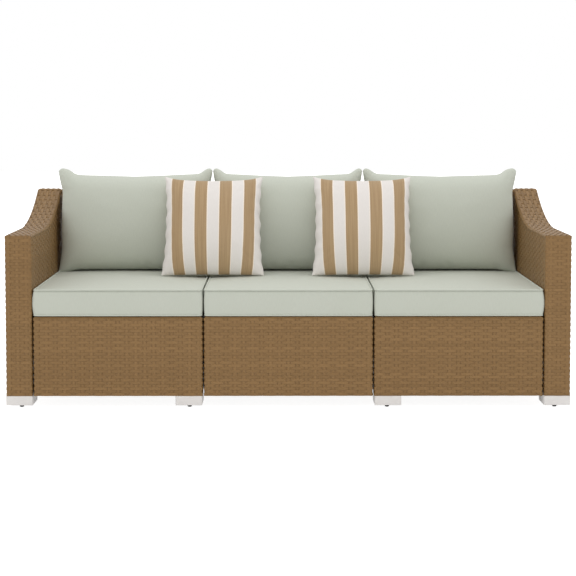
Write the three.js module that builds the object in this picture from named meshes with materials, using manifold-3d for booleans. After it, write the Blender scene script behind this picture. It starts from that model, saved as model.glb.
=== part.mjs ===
// Rattan garden sofa: three seat bays between two arms whose tops sweep up to the back.
// Each arm, seat box and back is a welded tube frame with a woven skin round it.
// Millimetres, +Z up, +Y towards the back, origin on the floor under the middle.

import * as THREE from 'three';
import { mergeVertices } from 'three/addons/utils/BufferGeometryUtils.js';
import Module from 'manifold-3d';

const wasm = await Module();
wasm.setup();

// Driving dimensions

const OVERALL_WIDTH = 1860;
const OVERALL_DEPTH = 745;
const BAY_COUNT = 3;

const GLIDE_HEIGHT = 13;
const GLIDE_RADIUS = 7.5;
const GLIDE_SOLE_RADIUS = 5.5;
const GLIDE_CHAMFER = 2.5;
const STEM_RADIUS = 4;
const STEM_LENGTH = 24;
const STEM_CHAMFER = 1;

const FOOT_WIDTH = 88;
const FOOT_DEPTH = 105;
const FOOT_HEIGHT = 31;
const FOOT_WALL = 3;
const FOOT_TOP_WALL = 4;
const FOOT_EDGE = 1.6;
const FOOT_BOSS_RADIUS = 11;
const FOOT_RIB = 3;
const INNER_FOOT_INSET = 2.5;

const WEAVE = 3;
const PANEL_EDGE = 6;
const MODULE_GAP = 3;
const TUBE = 20;

const ARM_WIDTH = 88;
const ARM_FRONT_HEIGHT = 530;
const ARM_FLAT_LENGTH = 305;
const ARM_SWEEP_RADIUS = 830;
const ARM_FRONT_CORNER = 12;
const ARM_REAR_CORNER = 9;
const SKIRT_SLOT_MARGIN = 25;

const APRON_HEIGHT = 262;
const APRON_RETURN = 40;
const DECK_BAND = 45;
const DECK_BANDS_ACROSS = 5;
const DECK_BANDS_DEEP = 5;
const CROSS_RAILS = 2;

const BACK_TUBE_DEPTH = 40;

const BOLT_RADIUS = 3;
const BOLT_HEAD_RADIUS = 6;
const BOLT_HEAD_HEIGHT = 3.5;
const BOLT_SIDES = 12;
const BOLT_TIP_SHORTFALL = 2;

const SEAT_THICKNESS = 85;
const SEAT_CROWN = 10;
const SEAT_BULGE = 3;
const SEAT_FOAM_MARGIN = 14;
const SEAT_FOAM_SKIN = 6;

const BACK_CUSHION_GAP = 4.4;
const BACK_CUSHION_HEIGHT = 377;
const BACK_CUSHION_THICKNESS = 165;
const BACK_CUSHION_SAG = 27;
const BACK_CUSHION_WAIST = 12;

const THROW_SIZE = 362;
const THROW_THICKNESS = 150;
const THROW_DRAW = 15;
const THROW_LEAN = THREE.MathUtils.degToRad(20);
const THROW_CENTRE_X = 265;

const PILLOW_FULLNESS = 0.6;
const SEAM_EDGE = 7;
const FILL_MARGIN = 34;
const FILL_SKIN = 9;
const ZIP_SLIT = 2.4;
const ZIP_SHARE = 0.7;

// Clearances

const FIT = 0.3;
const CUSHION_CLEARANCE = 1;

// Places that follow from the sizes

const FRONT = -OVERALL_DEPTH / 2;
const REAR = OVERALL_DEPTH / 2;
const FOOT_BOTTOM = GLIDE_HEIGHT + FIT;
const PANEL_BOTTOM = FOOT_BOTTOM + FOOT_HEIGHT + FIT;
const SKIN = WEAVE + FIT;
const ARM_INNER_X = OVERALL_WIDTH / 2 - ARM_WIDTH;
const BAY_PITCH = (2 * ARM_INNER_X - MODULE_GAP) / BAY_COUNT;
const MODULE_WIDTH = BAY_PITCH - MODULE_GAP;
const BACK_CUSHION_WIDTH = BAY_PITCH - BACK_CUSHION_GAP;
const APRON_TOP = PANEL_BOTTOM + APRON_HEIGHT;
const RAIL_TOP = APRON_TOP - SKIN;
const RAIL_MIDDLE = RAIL_TOP - TUBE / 2;
const BACK_HEIGHT = armTopAt(OVERALL_DEPTH - ARM_REAR_CORNER, 0);
const BACK_THICKNESS = BACK_TUBE_DEPTH + 2 * SKIN;
const BACK_FRONT_Y = REAR - BACK_THICKNESS;
const SEAT_FRAME_REAR = BACK_FRONT_Y - FIT;
const SEAT_BOTTOM = APRON_TOP + FIT;
const SEAT_TOP = SEAT_BOTTOM + SEAT_THICKNESS;
const BOLT_GRIP = 2 * TUBE + 2 * SKIN + MODULE_GAP;

const WICKER = { color: 0x8b6d49, roughness: 0.62, metalness: 0 };
const TUBE_STEEL = { color: 0x5d4a35, roughness: 0.5, metalness: 0.3 };
const FOOT_SILVER = { color: 0xd9d6d2, roughness: 0.35, metalness: 0.3 };
const GLIDE_BLACK = { color: 0x1b1b1c, roughness: 0.7, metalness: 0 };
const BOLT_STEEL = { color: 0x9a9b9d, roughness: 0.35, metalness: 0.9 };
const SAGE_CLOTH = { color: 0xc2c7b8, roughness: 0.95, metalness: 0 };
const STRIPED_CLOTH = { color: 0xd8cab6, roughness: 0.95, metalness: 0 };
const FOAM = { color: 0xe9e2cf, roughness: 1, metalness: 0 };
const FIBRE = { color: 0xf3f1ec, roughness: 1, metalness: 0 };

const sofa = new THREE.Group();
sofa.name = 'rattan_garden_sofa';

// Helpers

function solidOf(geometry) {
  const bare = geometry.clone();
  bare.deleteAttribute('normal');
  bare.deleteAttribute('uv');
  const merged = mergeVertices(bare, 1e-4);
  return new wasm.Manifold(new wasm.Mesh({
    numProp: 3,
    vertProperties: new Float32Array(merged.attributes.position.array),
    triVerts: new Uint32Array(merged.index.array),
  }));
}

function geometryOf(solid) {
  const mesh = solid.getMesh();
  const geometry = new THREE.BufferGeometry();
  geometry.setAttribute('position', new THREE.BufferAttribute(mesh.vertProperties, 3));
  geometry.setIndex(new THREE.BufferAttribute(mesh.triVerts, 1));
  geometry.computeVertexNormals();
  return geometry;
}

function union(solids) {
  return solids.reduce((joined, next) => joined.add(next));
}

function addPiece(name, solid, finish) {
  const mesh = new THREE.Mesh(geometryOf(solid), new THREE.MeshStandardMaterial(finish));
  mesh.name = name;
  sofa.add(mesh);
}

// A straight square bar, block or cutter between two opposite corners.
function block([x0, y0, z0], [x1, y1, z1]) {
  const geometry = new THREE.BoxGeometry(x1 - x0, y1 - y0, z1 - z0);
  geometry.translate((x0 + x1) / 2, (y0 + y1) / 2, (z0 + z1) / 2);
  return solidOf(geometry);
}

function arcPoints(centreX, centreY, radius, from, to, steps) {
  return Array.from({ length: steps + 1 }, (_, i) => {
    const angle = from + (to - from) * i / steps;
    return new THREE.Vector2(centreX + radius * Math.cos(angle), centreY + radius * Math.sin(angle));
  });
}

function roundedRectangle(x0, y0, x1, y1, radius, steps = 2) {
  const quarter = Math.PI / 2;
  return new THREE.Shape([
    ...arcPoints(x1 - radius, y0 + radius, radius, -quarter, 0, steps),
    ...arcPoints(x1 - radius, y1 - radius, radius, 0, quarter, steps),
    ...arcPoints(x0 + radius, y1 - radius, radius, quarter, 2 * quarter, steps),
    ...arcPoints(x0 + radius, y0 + radius, radius, 2 * quarter, 3 * quarter, steps),
  ]);
}

// An outline drawn in its own plane and pushed out to a thickness, with rounded rims if asked.
function extrude(shape, thickness, rim = 0) {
  const geometry = new THREE.ExtrudeGeometry(shape, {
    depth: thickness - 2 * rim,
    bevelEnabled: rim > 0,
    bevelThickness: rim,
    bevelSize: rim,
    bevelOffset: -rim,
    bevelSegments: 2,
  });
  geometry.translate(0, 0, rim);
  return geometry;
}

// Turns (depth, height, thickness) drawn from the front into the sofa's Y, Z and X.
function standOnSide(geometry, x) {
  const turn = new THREE.Matrix4().makeBasis(
    new THREE.Vector3(0, 1, 0),
    new THREE.Vector3(0, 0, 1),
    new THREE.Vector3(1, 0, 0),
  );
  geometry.applyMatrix4(turn);
  geometry.translate(x, FRONT, PANEL_BOTTOM);
  return solidOf(geometry);
}

// Turns (across, height, thickness) into X, Z and -Y, with the thickness growing forwards from y.
function standFacing(geometry, y) {
  geometry.rotateX(Math.PI / 2);
  geometry.translate(0, y, 0);
  return solidOf(geometry);
}

// Arms

function armTopAt(depth, inset) {
  const radius = ARM_SWEEP_RADIUS + inset;
  const behind = Math.max(0, depth - ARM_FLAT_LENGTH);
  return ARM_FRONT_HEIGHT + ARM_SWEEP_RADIUS - Math.sqrt(radius ** 2 - behind ** 2);
}

// The arm seen from its side: a flat top, then a hollow sweep of one radius up to the back.
function armOutline(inset) {
  const corner = Math.max(ARM_FRONT_CORNER - inset, 1);
  const rearCorner = Math.max(ARM_REAR_CORNER - inset, 1);
  const top = ARM_FRONT_HEIGHT - inset;
  const rear = OVERALL_DEPTH - inset;
  const radius = ARM_SWEEP_RADIUS + inset;
  const sweepStop = Math.asin((rear - rearCorner - ARM_FLAT_LENGTH) / radius);
  return [
    new THREE.Vector2(rear, inset),
    new THREE.Vector2(rear, armTopAt(rear, inset) - rearCorner),
    ...arcPoints(
      ARM_FLAT_LENGTH, ARM_FRONT_HEIGHT + ARM_SWEEP_RADIUS, radius,
      sweepStop - Math.PI / 2, -Math.PI / 2, 10,
    ),
    ...arcPoints(inset + corner, top - corner, corner, Math.PI / 2, Math.PI, 2),
    new THREE.Vector2(inset, inset),
  ];
}

// Rail 0 is the seat frame's front rail and the last one is its rear rail.
function railFront(index) {
  const first = FRONT + SKIN;
  return first + (SEAT_FRAME_REAR - first - TUBE) * index / (CROSS_RAILS + 1);
}

// The bolts go through the side rails midway between two rails that cross the seat frame.
function boltPlaces() {
  const midwayAfter = (index) => (railFront(index) + TUBE + railFront(index + 1)) / 2;
  return [
    { end: 'front', y: midwayAfter(0) },
    { end: 'rear', y: midwayAfter(CROSS_RAILS) },
  ];
}

// A round cutter along X for a bolt, clear of its shank.
function boltHole(x0, x1, y, z) {
  const radius = BOLT_RADIUS + FIT;
  const geometry = new THREE.CylinderGeometry(radius, radius, x1 - x0, BOLT_SIDES);
  geometry.rotateZ(-Math.PI / 2);
  geometry.translate((x0 + x1) / 2, y, z);
  return solidOf(geometry);
}

// Two bent side loops held apart by rungs, with a seat rail that takes the bolts on both loops.
function armFrame(x, innerX) {
  const shape = new THREE.Shape(armOutline(SKIN));
  shape.holes.push(new THREE.Path(armOutline(SKIN + TUBE)));
  const loops = [x + SKIN, x + ARM_WIDTH - SKIN - TUBE];
  const bars = loops.map((loopX) => standOnSide(extrude(shape, TUBE), loopX));
  const rear = OVERALL_DEPTH - SKIN - TUBE;
  const low = PANEL_BOTTOM + SKIN;
  const inside = { front: FRONT + SKIN + 1, rear: REAR - SKIN - 1 };
  for (const loopX of loops) {
    bars.push(block([loopX, inside.front, RAIL_TOP - TUBE], [loopX + TUBE, inside.rear, RAIL_TOP]));
    const postY = FRONT + ARM_FLAT_LENGTH;
    const postTop = PANEL_BOTTOM + ARM_FRONT_HEIGHT - SKIN - 1;
    bars.push(block([loopX, postY - TUBE, low + 1], [loopX + TUBE, postY, postTop]));
  }
  const rungs = [
    [SKIN, SKIN], [rear, SKIN],
    [SKIN, ARM_FRONT_HEIGHT - SKIN - TUBE - ARM_FRONT_CORNER],
    [ARM_FLAT_LENGTH - TUBE, SKIN],
    [ARM_FLAT_LENGTH - TUBE, ARM_FRONT_HEIGHT - SKIN - TUBE],
    [rear, armTopAt(rear, SKIN) - TUBE],
    [rear, RAIL_TOP - PANEL_BOTTOM - TUBE],
    [SKIN, RAIL_TOP - PANEL_BOTTOM - TUBE],
  ];
  for (const [depth, height] of rungs) {
    bars.push(block(
      [loops[0] + TUBE - 1, FRONT + depth, PANEL_BOTTOM + height],
      [loops[1] + 1, FRONT + depth + TUBE, PANEL_BOTTOM + height + TUBE],
    ));
  }
  const reach = TUBE + SKIN + 1;
  const holes = boltPlaces().map(({ y }) => boltHole(innerX - reach, innerX + reach, y, RAIL_MIDDLE));
  return union(bars).subtract(union(holes));
}

// The woven skin goes all round the frame and turns in under its lower tubes.
function armSkin(x, innerX) {
  const outer = standOnSide(extrude(new THREE.Shape(armOutline(0)), ARM_WIDTH, PANEL_EDGE), x);
  const innerOutline = new THREE.Shape(armOutline(WEAVE));
  const inner = standOnSide(extrude(innerOutline, ARM_WIDTH - 2 * WEAVE), x + WEAVE);
  const footReach = FOOT_DEPTH + SKIRT_SLOT_MARGIN;
  const slot = block(
    [x + SKIN + TUBE, FRONT + footReach, PANEL_BOTTOM - 1],
    [x + ARM_WIDTH - SKIN - TUBE, REAR - footReach, PANEL_BOTTOM + WEAVE + 1],
  );
  const reach = 2 * WEAVE;
  const holes = boltPlaces().map(({ y }) => boltHole(innerX - reach, innerX + reach, y, RAIL_MIDDLE));
  return outer.subtract(inner).subtract(slot).subtract(union(holes));
}

// Seat boxes and backs

// A welded cage: posts, rails at top and bottom, and cross rails under the deck.
function seatFrame(x0, x1) {
  const [left, right] = [x0 + SKIN, x1 - SKIN];
  const [front, rear] = [FRONT + SKIN, SEAT_FRAME_REAR];
  const [low, high] = [PANEL_BOTTOM + SKIN, RAIL_TOP];
  const bars = [];
  for (const z of [low, high - TUBE]) {
    bars.push(block([left, front, z], [right, front + TUBE, z + TUBE]));
    bars.push(block([left, rear - TUBE, z], [right, rear, z + TUBE]));
    bars.push(block([left, front, z], [left + TUBE, rear, z + TUBE]));
    bars.push(block([right - TUBE, front, z], [right, rear, z + TUBE]));
  }
  for (const postX of [left, right - TUBE]) {
    for (const postY of [front, rear - TUBE]) {
      bars.push(block([postX, postY, low], [postX + TUBE, postY + TUBE, high]));
    }
  }
  for (let i = 1; i <= CROSS_RAILS; i += 1) {
    const railY = railFront(i);
    bars.push(block([left, railY, high - TUBE], [right, railY + TUBE, high]));
  }
  const holes = boltPlaces().flatMap(({ y }) => [
    boltHole(left - 1, left + TUBE + 1, y, RAIL_MIDDLE),
    boltHole(right - TUBE - 1, right + 1, y, RAIL_MIDDLE),
  ]);
  return union(bars).subtract(union(holes));
}

// The woven apron is a shallow tray: it rolls over the frame's top and bottom rails and its posts.
function apronSkin(x0, x1) {
  const outline = roundedRectangle(x0, PANEL_BOTTOM, x1, APRON_TOP, PANEL_EDGE);
  const fullDepth = 2 * APRON_RETURN;
  const outer = standFacing(extrude(outline, fullDepth, PANEL_EDGE), FRONT + fullDepth);
  const behind = block(
    [x0 - 1, FRONT + APRON_RETURN, PANEL_BOTTOM - 1],
    [x1 + 1, FRONT + fullDepth + 1, APRON_TOP + 1],
  );
  const inner = block(
    [x0 + WEAVE, FRONT + WEAVE, PANEL_BOTTOM + WEAVE],
    [x1 - WEAVE, FRONT + fullDepth, APRON_TOP - WEAVE],
  );
  return outer.subtract(behind).subtract(inner);
}

// An open lattice of flat bands stretched over the rails carries the seat cushion.
function seatDeck(x0, x1) {
  const [left, right] = [x0 + SKIN, x1 - SKIN];
  const [front, rear] = [FRONT + APRON_RETURN + FIT, SEAT_FRAME_REAR];
  const [low, high] = [RAIL_TOP + FIT, RAIL_TOP + FIT + WEAVE];
  const bands = [];
  for (let i = 0; i < DECK_BANDS_ACROSS; i += 1) {
    const x = left + (right - left - DECK_BAND) * i / (DECK_BANDS_ACROSS - 1);
    bands.push(block([x, front, low], [x + DECK_BAND, rear, high]));
  }
  for (let i = 0; i < DECK_BANDS_DEEP; i += 1) {
    const y = front + (rear - front - DECK_BAND) * i / (DECK_BANDS_DEEP - 1);
    bands.push(block([left, y, low], [right, y + DECK_BAND, high]));
  }
  return union(bands);
}

// A flat welded frame with a lumbar rail and a middle post.
function backFrame(x0, x1) {
  const [left, right] = [x0 + SKIN, x1 - SKIN];
  const [front, rear] = [BACK_FRONT_Y + SKIN, REAR - SKIN];
  const [low, high] = [PANEL_BOTTOM + SKIN, PANEL_BOTTOM + BACK_HEIGHT - SKIN];
  const middle = (left + right) / 2;
  return union([
    block([left, front, low], [left + TUBE, rear, high]),
    block([right - TUBE, front, low], [right, rear, high]),
    block([middle - TUBE / 2, front, low], [middle + TUBE / 2, rear, high]),
    block([left, front, low], [right, rear, low + TUBE]),
    block([left, front, RAIL_TOP - TUBE], [right, rear, RAIL_TOP]),
    block([left, front, high - TUBE], [right, rear, high]),
  ]);
}

function backSkin(x0, x1) {
  const [low, high] = [PANEL_BOTTOM, PANEL_BOTTOM + BACK_HEIGHT];
  const outline = roundedRectangle(x0, low, x1, high, PANEL_EDGE);
  const outer = standFacing(extrude(outline, BACK_THICKNESS, PANEL_EDGE), REAR);
  const inner = block(
    [x0 + WEAVE, BACK_FRONT_Y + WEAVE, low + WEAVE],
    [x1 - WEAVE, REAR - WEAVE, high - WEAVE],
  );
  const footReach = INNER_FOOT_INSET + FOOT_WIDTH + SKIRT_SLOT_MARGIN;
  const slot = block(
    [x0 + footReach, BACK_FRONT_Y + 2 * SKIN, low - 1],
    [x1 - footReach, REAR - 2 * SKIN, low + WEAVE + 1],
  );
  return outer.subtract(inner).subtract(slot);
}

// Feet and glides

// A moulded foot: thin walls, a boss in the middle for the glide's thread, and four ribs to it.
function foot(x, y) {
  const [halfX, halfY] = [FOOT_WIDTH / 2, FOOT_DEPTH / 2];
  const outline = roundedRectangle(-halfX, -halfY, halfX, halfY, 2 * FOOT_EDGE);
  const outer = solidOf(extrude(outline, FOOT_HEIGHT, FOOT_EDGE));
  const pocketTop = FOOT_HEIGHT - FOOT_TOP_WALL;
  const pocket = block(
    [FOOT_WALL - halfX, FOOT_WALL - halfY, -1],
    [halfX - FOOT_WALL, halfY - FOOT_WALL, pocketTop],
  );
  const boreHeight = pocketTop + 1;
  const bossGeometry = new THREE.CylinderGeometry(FOOT_BOSS_RADIUS, FOOT_BOSS_RADIUS, boreHeight, 16);
  bossGeometry.rotateX(Math.PI / 2);
  bossGeometry.translate(0, 0, boreHeight / 2);
  const ribs = [
    block([1 - halfX, -FOOT_RIB / 2, FOOT_RIB], [halfX - 1, FOOT_RIB / 2, pocketTop + 1]),
    block([-FOOT_RIB / 2, 1 - halfY, FOOT_RIB], [FOOT_RIB / 2, halfY - 1, pocketTop + 1]),
  ];
  const boreRadius = STEM_RADIUS + FIT;
  const boreGeometry = new THREE.CylinderGeometry(boreRadius, boreRadius, boreHeight, BOLT_SIDES);
  boreGeometry.rotateX(Math.PI / 2);
  boreGeometry.translate(0, 0, (pocketTop - 1) / 2);
  return union([outer.subtract(pocket), solidOf(bossGeometry), ...ribs])
    .subtract(solidOf(boreGeometry))
    .translate([x, y, FOOT_BOTTOM]);
}

// A screw-in levelling glide: a chamfered pad under the foot and a stem up its boss.
function glide(x, y) {
  const stemTop = GLIDE_HEIGHT + STEM_LENGTH;
  const profile = [
    [0, 0], [GLIDE_SOLE_RADIUS, 0], [GLIDE_RADIUS, GLIDE_CHAMFER], [GLIDE_RADIUS, GLIDE_HEIGHT],
    [STEM_RADIUS, GLIDE_HEIGHT], [STEM_RADIUS, stemTop - STEM_CHAMFER],
    [STEM_RADIUS - STEM_CHAMFER, stemTop], [0, stemTop],
  ].map(([radius, height]) => new THREE.Vector2(radius, height));
  const geometry = new THREE.LatheGeometry(profile, 12);
  geometry.rotateX(Math.PI / 2);
  return solidOf(geometry).translate([x, y, 0]);
}

// A bolt along X with its head at x, pointing the way that sign says.
function bolt(x, sign, y) {
  const length = BOLT_GRIP - BOLT_TIP_SHORTFALL;
  const profile = [
    [0, -BOLT_HEAD_HEIGHT], [BOLT_HEAD_RADIUS * 0.7, -BOLT_HEAD_HEIGHT],
    [BOLT_HEAD_RADIUS, -BOLT_HEAD_HEIGHT / 3], [BOLT_HEAD_RADIUS, -FIT],
    [BOLT_RADIUS, -FIT], [BOLT_RADIUS, length], [0, length],
  ].map(([radius, height]) => new THREE.Vector2(radius, height));
  const geometry = new THREE.LatheGeometry(profile, BOLT_SIDES);
  geometry.rotateZ(-sign * Math.PI / 2);
  return solidOf(geometry).translate([x, y, RAIL_MIDDLE]);
}

// Cushions

function fullness(u, v, power) {
  return ((1 - u ** 4) * (1 - v ** 4)) ** power;
}

// A closed form made from a gridded block: place(u, v, w) says where each grid point goes.
function shapedBlock(across, up, through, place) {
  const geometry = new THREE.BoxGeometry(2, 2, 2, across, up, through);
  const position = geometry.attributes.position;
  for (let i = 0; i < position.count; i += 1) {
    position.setXYZ(i, ...place(position.getX(i), position.getY(i), position.getZ(i)));
  }
  return solidOf(geometry);
}

// Height of a seat cushion's top over its seam, at a share u across and v along.
function seatCrownAt(u, v) {
  return SEAT_CROWN * fullness(u, v, 1);
}

const SEAT_HALF_WIDTH = (BAY_PITCH - CUSHION_CLEARANCE) / 2 - SEAT_BULGE;
const SEAT_HALF_DEPTH = (BACK_FRONT_Y - CUSHION_CLEARANCE - FRONT) / 2 - SEAT_BULGE;
const SEAT_CENTRE_Y = FRONT + SEAT_BULGE + SEAT_HALF_DEPTH;

// A boxed cushion: crowned top, flat base, and a band that swells between its two seams.
function seatCover(centreX) {
  const cover = shapedBlock(10, 10, 3, (u, v, w) => {
    const swell = SEAT_BULGE * (1 - w * w);
    const pulled = 1 - 0.012 * (u * v) ** 8;
    return [
      centreX + u * (SEAT_HALF_WIDTH + swell) * pulled,
      SEAT_CENTRE_Y + v * (SEAT_HALF_DEPTH + swell) * pulled,
      SEAT_BOTTOM + (w + 1) / 2 * SEAT_THICKNESS + (w > 0.99 ? seatCrownAt(u, v) : 0),
    ];
  });
  const zip = block(
    [centreX - ZIP_SHARE * SEAT_HALF_WIDTH, SEAT_CENTRE_Y + SEAT_HALF_DEPTH - 2 * SEAT_FOAM_MARGIN,
      SEAT_BOTTOM + SEAT_THICKNESS / 2 - ZIP_SLIT / 2],
    [centreX + ZIP_SHARE * SEAT_HALF_WIDTH, SEAT_CENTRE_Y + SEAT_HALF_DEPTH + 2 * SEAT_BULGE,
      SEAT_BOTTOM + SEAT_THICKNESS / 2 + ZIP_SLIT / 2],
  );
  return cover.subtract(seatFoam(centreX, FIT)).subtract(zip);
}

function seatFoam(centreX, room) {
  const halfX = SEAT_HALF_WIDTH - SEAT_FOAM_MARGIN + room;
  const halfY = SEAT_HALF_DEPTH - SEAT_FOAM_MARGIN + room;
  return block(
    [centreX - halfX, SEAT_CENTRE_Y - halfY, SEAT_BOTTOM + SEAT_FOAM_SKIN - room],
    [centreX + halfX, SEAT_CENTRE_Y + halfY, SEAT_TOP - SEAT_FOAM_SKIN + room],
  );
}

// A knife-edged cushion standing up: full in the middle, thin at its seam,
// with its edges drawn in between pointed corners. Depth grows towards the back.
function pillowSolid(size, grid, toSofa) {
  return shapedBlock(grid, grid, 1, (u, v, w) => {
    const across = u * (size.width / 2 - size.waist * (1 - v * v) * u * u);
    const up = v * (size.height / 2 - size.sag * (1 - u * u) * v * v);
    const swell = (size.thickness - size.edge) / 2 * fullness(u, v, PILLOW_FULLNESS);
    const half = size.edge / 2 + swell;
    return toSofa(across, -w * half, up);
  });
}

function fillSize(size, room) {
  const margin = 2 * FILL_MARGIN - 2 * room;
  return {
    width: size.width - margin - 2 * size.waist,
    height: size.height - margin - 2 * size.sag,
    thickness: size.thickness - 2 * FILL_SKIN + 2 * room,
    edge: 3 * size.edge + 2 * room,
    waist: 0,
    sag: 0,
  };
}

function pillowCover(size, toSofa) {
  const zip = shapedBlock(1, 1, 1, (u, v, w) => toSofa(
    u * ZIP_SHARE * size.width / 2,
    -w * ZIP_SLIT / 2,
    (v - 1) / 2 * (2 * FILL_MARGIN + size.sag) - size.height / 2 + 2 * FILL_MARGIN,
  ));
  return pillowSolid(size, 8, toSofa)
    .subtract(pillowSolid(fillSize(size, FIT), 4, toSofa))
    .subtract(zip);
}

const BACK_CUSHION = {
  width: BACK_CUSHION_WIDTH,
  height: BACK_CUSHION_HEIGHT,
  thickness: BACK_CUSHION_THICKNESS,
  edge: SEAM_EDGE,
  waist: BACK_CUSHION_WAIST,
  sag: BACK_CUSHION_SAG,
};
const BACK_CUSHION_Y = BACK_FRONT_Y - CUSHION_CLEARANCE / 2 - BACK_CUSHION_THICKNESS / 2;
const BACK_CUSHION_Z = SEAT_TOP + FIT + BACK_CUSHION_HEIGHT / 2;

const THROW = {
  width: THROW_SIZE,
  height: THROW_SIZE,
  thickness: THROW_THICKNESS,
  edge: SEAM_EDGE,
  waist: THROW_DRAW,
  sag: THROW_DRAW,
};

// How far back the front of the back cushions lies, behind a point of the throw pillow.
function backCushionFrontAt(x, z) {
  const bay = Math.round(x / BAY_PITCH);
  const u = THREE.MathUtils.clamp((x - bay * BAY_PITCH) / (BACK_CUSHION_WIDTH / 2), -1, 1);
  const v = THREE.MathUtils.clamp((z - BACK_CUSHION_Z) / (BACK_CUSHION_HEIGHT / 2), -1, 1);
  return BACK_CUSHION_Y - BACK_CUSHION_THICKNESS / 2 * fullness(u, v, PILLOW_FULLNESS);
}

// The throw pillow leans back: its lowest corners stand on the seat and its back meets the cushions.
function throwPlacer(centreX) {
  const [lean, rise] = [Math.sin(THROW_LEAN), Math.cos(THROW_LEAN)];
  const lowest = THROW_SIZE / 2 * rise + SEAM_EDGE / 2 * lean;
  const centreZ = SEAT_TOP + SEAT_CROWN + FIT + lowest;
  const reach = (u, v) => {
    const half = THROW_THICKNESS / 2 * fullness(u, v, PILLOW_FULLNESS);
    const up = v * THROW_SIZE / 2;
    const x = centreX + u * THROW_SIZE / 2;
    const z = centreZ + up * rise - half * lean;
    return backCushionFrontAt(x, z) - (up * lean + half * rise);
  };
  const samples = Array.from({ length: 17 }, (_, i) => i / 8 - 1);
  const reaches = samples.flatMap((u) => samples.map((v) => reach(u, v)));
  const centreY = Math.min(...reaches) - CUSHION_CLEARANCE;
  return (across, deep, up) => [
    centreX + across,
    centreY + up * lean + deep * rise,
    centreZ + up * rise - deep * lean,
  ];
}

// Assembly

for (const [side, sign] of [['left', -1], ['right', 1]]) {
  const x = sign < 0 ? -OVERALL_WIDTH / 2 : ARM_INNER_X;
  const innerX = sign * ARM_INNER_X;
  addPiece(`${side}_arm_frame`, armFrame(x, innerX), TUBE_STEEL);
  addPiece(`${side}_arm_weave`, armSkin(x, innerX), WICKER);
}

const BAYS = ['left', 'middle', 'right'];
BAYS.forEach((bay, i) => {
  const centreX = (i - (BAY_COUNT - 1) / 2) * BAY_PITCH;
  const [x0, x1] = [centreX - MODULE_WIDTH / 2, centreX + MODULE_WIDTH / 2];
  const standBack = (across, deep, up) => [
    centreX + across, BACK_CUSHION_Y + deep, BACK_CUSHION_Z + up,
  ];
  addPiece(`${bay}_seat_frame`, seatFrame(x0, x1), TUBE_STEEL);
  addPiece(`${bay}_apron_weave`, apronSkin(x0, x1), WICKER);
  addPiece(`${bay}_seat_deck`, seatDeck(x0, x1), WICKER);
  addPiece(`${bay}_back_frame`, backFrame(x0, x1), TUBE_STEEL);
  addPiece(`${bay}_back_weave`, backSkin(x0, x1), WICKER);
  addPiece(`${bay}_seat_cover`, seatCover(centreX), SAGE_CLOTH);
  addPiece(`${bay}_seat_foam`, seatFoam(centreX, 0), FOAM);
  addPiece(`${bay}_back_cover`, pillowCover(BACK_CUSHION, standBack), SAGE_CLOTH);
  addPiece(`${bay}_back_fill`, pillowSolid(fillSize(BACK_CUSHION, 0), 4, standBack), FIBRE);
});

for (const [side, sign] of [['left', -1], ['right', 1]]) {
  const placer = throwPlacer(sign * THROW_CENTRE_X);
  addPiece(`${side}_throw_cover`, pillowCover(THROW, placer), STRIPED_CLOTH);
  addPiece(`${side}_throw_fill`, pillowSolid(fillSize(THROW, 0), 4, placer), FIBRE);

  const outerX = sign * (OVERALL_WIDTH / 2 - ARM_WIDTH / 2);
  const innerX = sign * (BAY_PITCH / 2 + MODULE_GAP / 2 + INNER_FOOT_INSET + FOOT_WIDTH / 2);
  for (const [place, x] of [['outer', outerX], ['inner', innerX]]) {
    for (const [end, y] of [['front', FRONT + FOOT_DEPTH / 2], ['rear', REAR - FOOT_DEPTH / 2]]) {
      addPiece(`${side}_${place}_${end}_foot`, foot(x, y), FOOT_SILVER);
      addPiece(`${side}_${place}_${end}_glide`, glide(x, y), GLIDE_BLACK);
    }
  }

  for (const { end, y } of boltPlaces()) {
    const armHeadX = sign * (ARM_INNER_X - MODULE_GAP - SKIN - TUBE);
    addPiece(`${side}_arm_bolt_${end}`, bolt(armHeadX, sign, y), BOLT_STEEL);
    const linkHeadX = sign * (BAY_PITCH / 2 - MODULE_GAP / 2 - SKIN - TUBE);
    addPiece(`${side}_link_bolt_${end}`, bolt(linkHeadX, sign, y), BOLT_STEEL);
  }
}

export default sofa;
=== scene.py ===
# %% [markdown]
# # A woven garden sofa with three seats
#
# The sofa stands in its CAD frame: two swept arms, three seat boxes with their backs, and loose
# cushions. The CAD solids give every size and place. This lesson dresses them: flat resin strips
# are woven over the panels, the cushions are sewn and filled, and each surface gets its finish.

import math
import random

import bpy
import numpy as np
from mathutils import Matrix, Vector


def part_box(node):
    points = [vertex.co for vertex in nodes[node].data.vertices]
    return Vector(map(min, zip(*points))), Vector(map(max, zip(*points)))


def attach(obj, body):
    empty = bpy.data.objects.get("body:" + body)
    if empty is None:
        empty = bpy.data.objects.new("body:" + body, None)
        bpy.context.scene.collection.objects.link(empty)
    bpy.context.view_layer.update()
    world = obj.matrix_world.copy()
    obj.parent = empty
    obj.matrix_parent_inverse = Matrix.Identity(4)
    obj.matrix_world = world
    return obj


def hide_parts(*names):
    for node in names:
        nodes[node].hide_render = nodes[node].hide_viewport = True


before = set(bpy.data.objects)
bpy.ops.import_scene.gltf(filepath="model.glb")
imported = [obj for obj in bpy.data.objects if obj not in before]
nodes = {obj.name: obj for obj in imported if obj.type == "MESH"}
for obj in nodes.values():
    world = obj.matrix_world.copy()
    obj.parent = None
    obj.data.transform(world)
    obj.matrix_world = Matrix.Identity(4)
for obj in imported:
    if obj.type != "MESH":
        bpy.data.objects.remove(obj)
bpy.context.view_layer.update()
scene = bpy.context.scene

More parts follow.
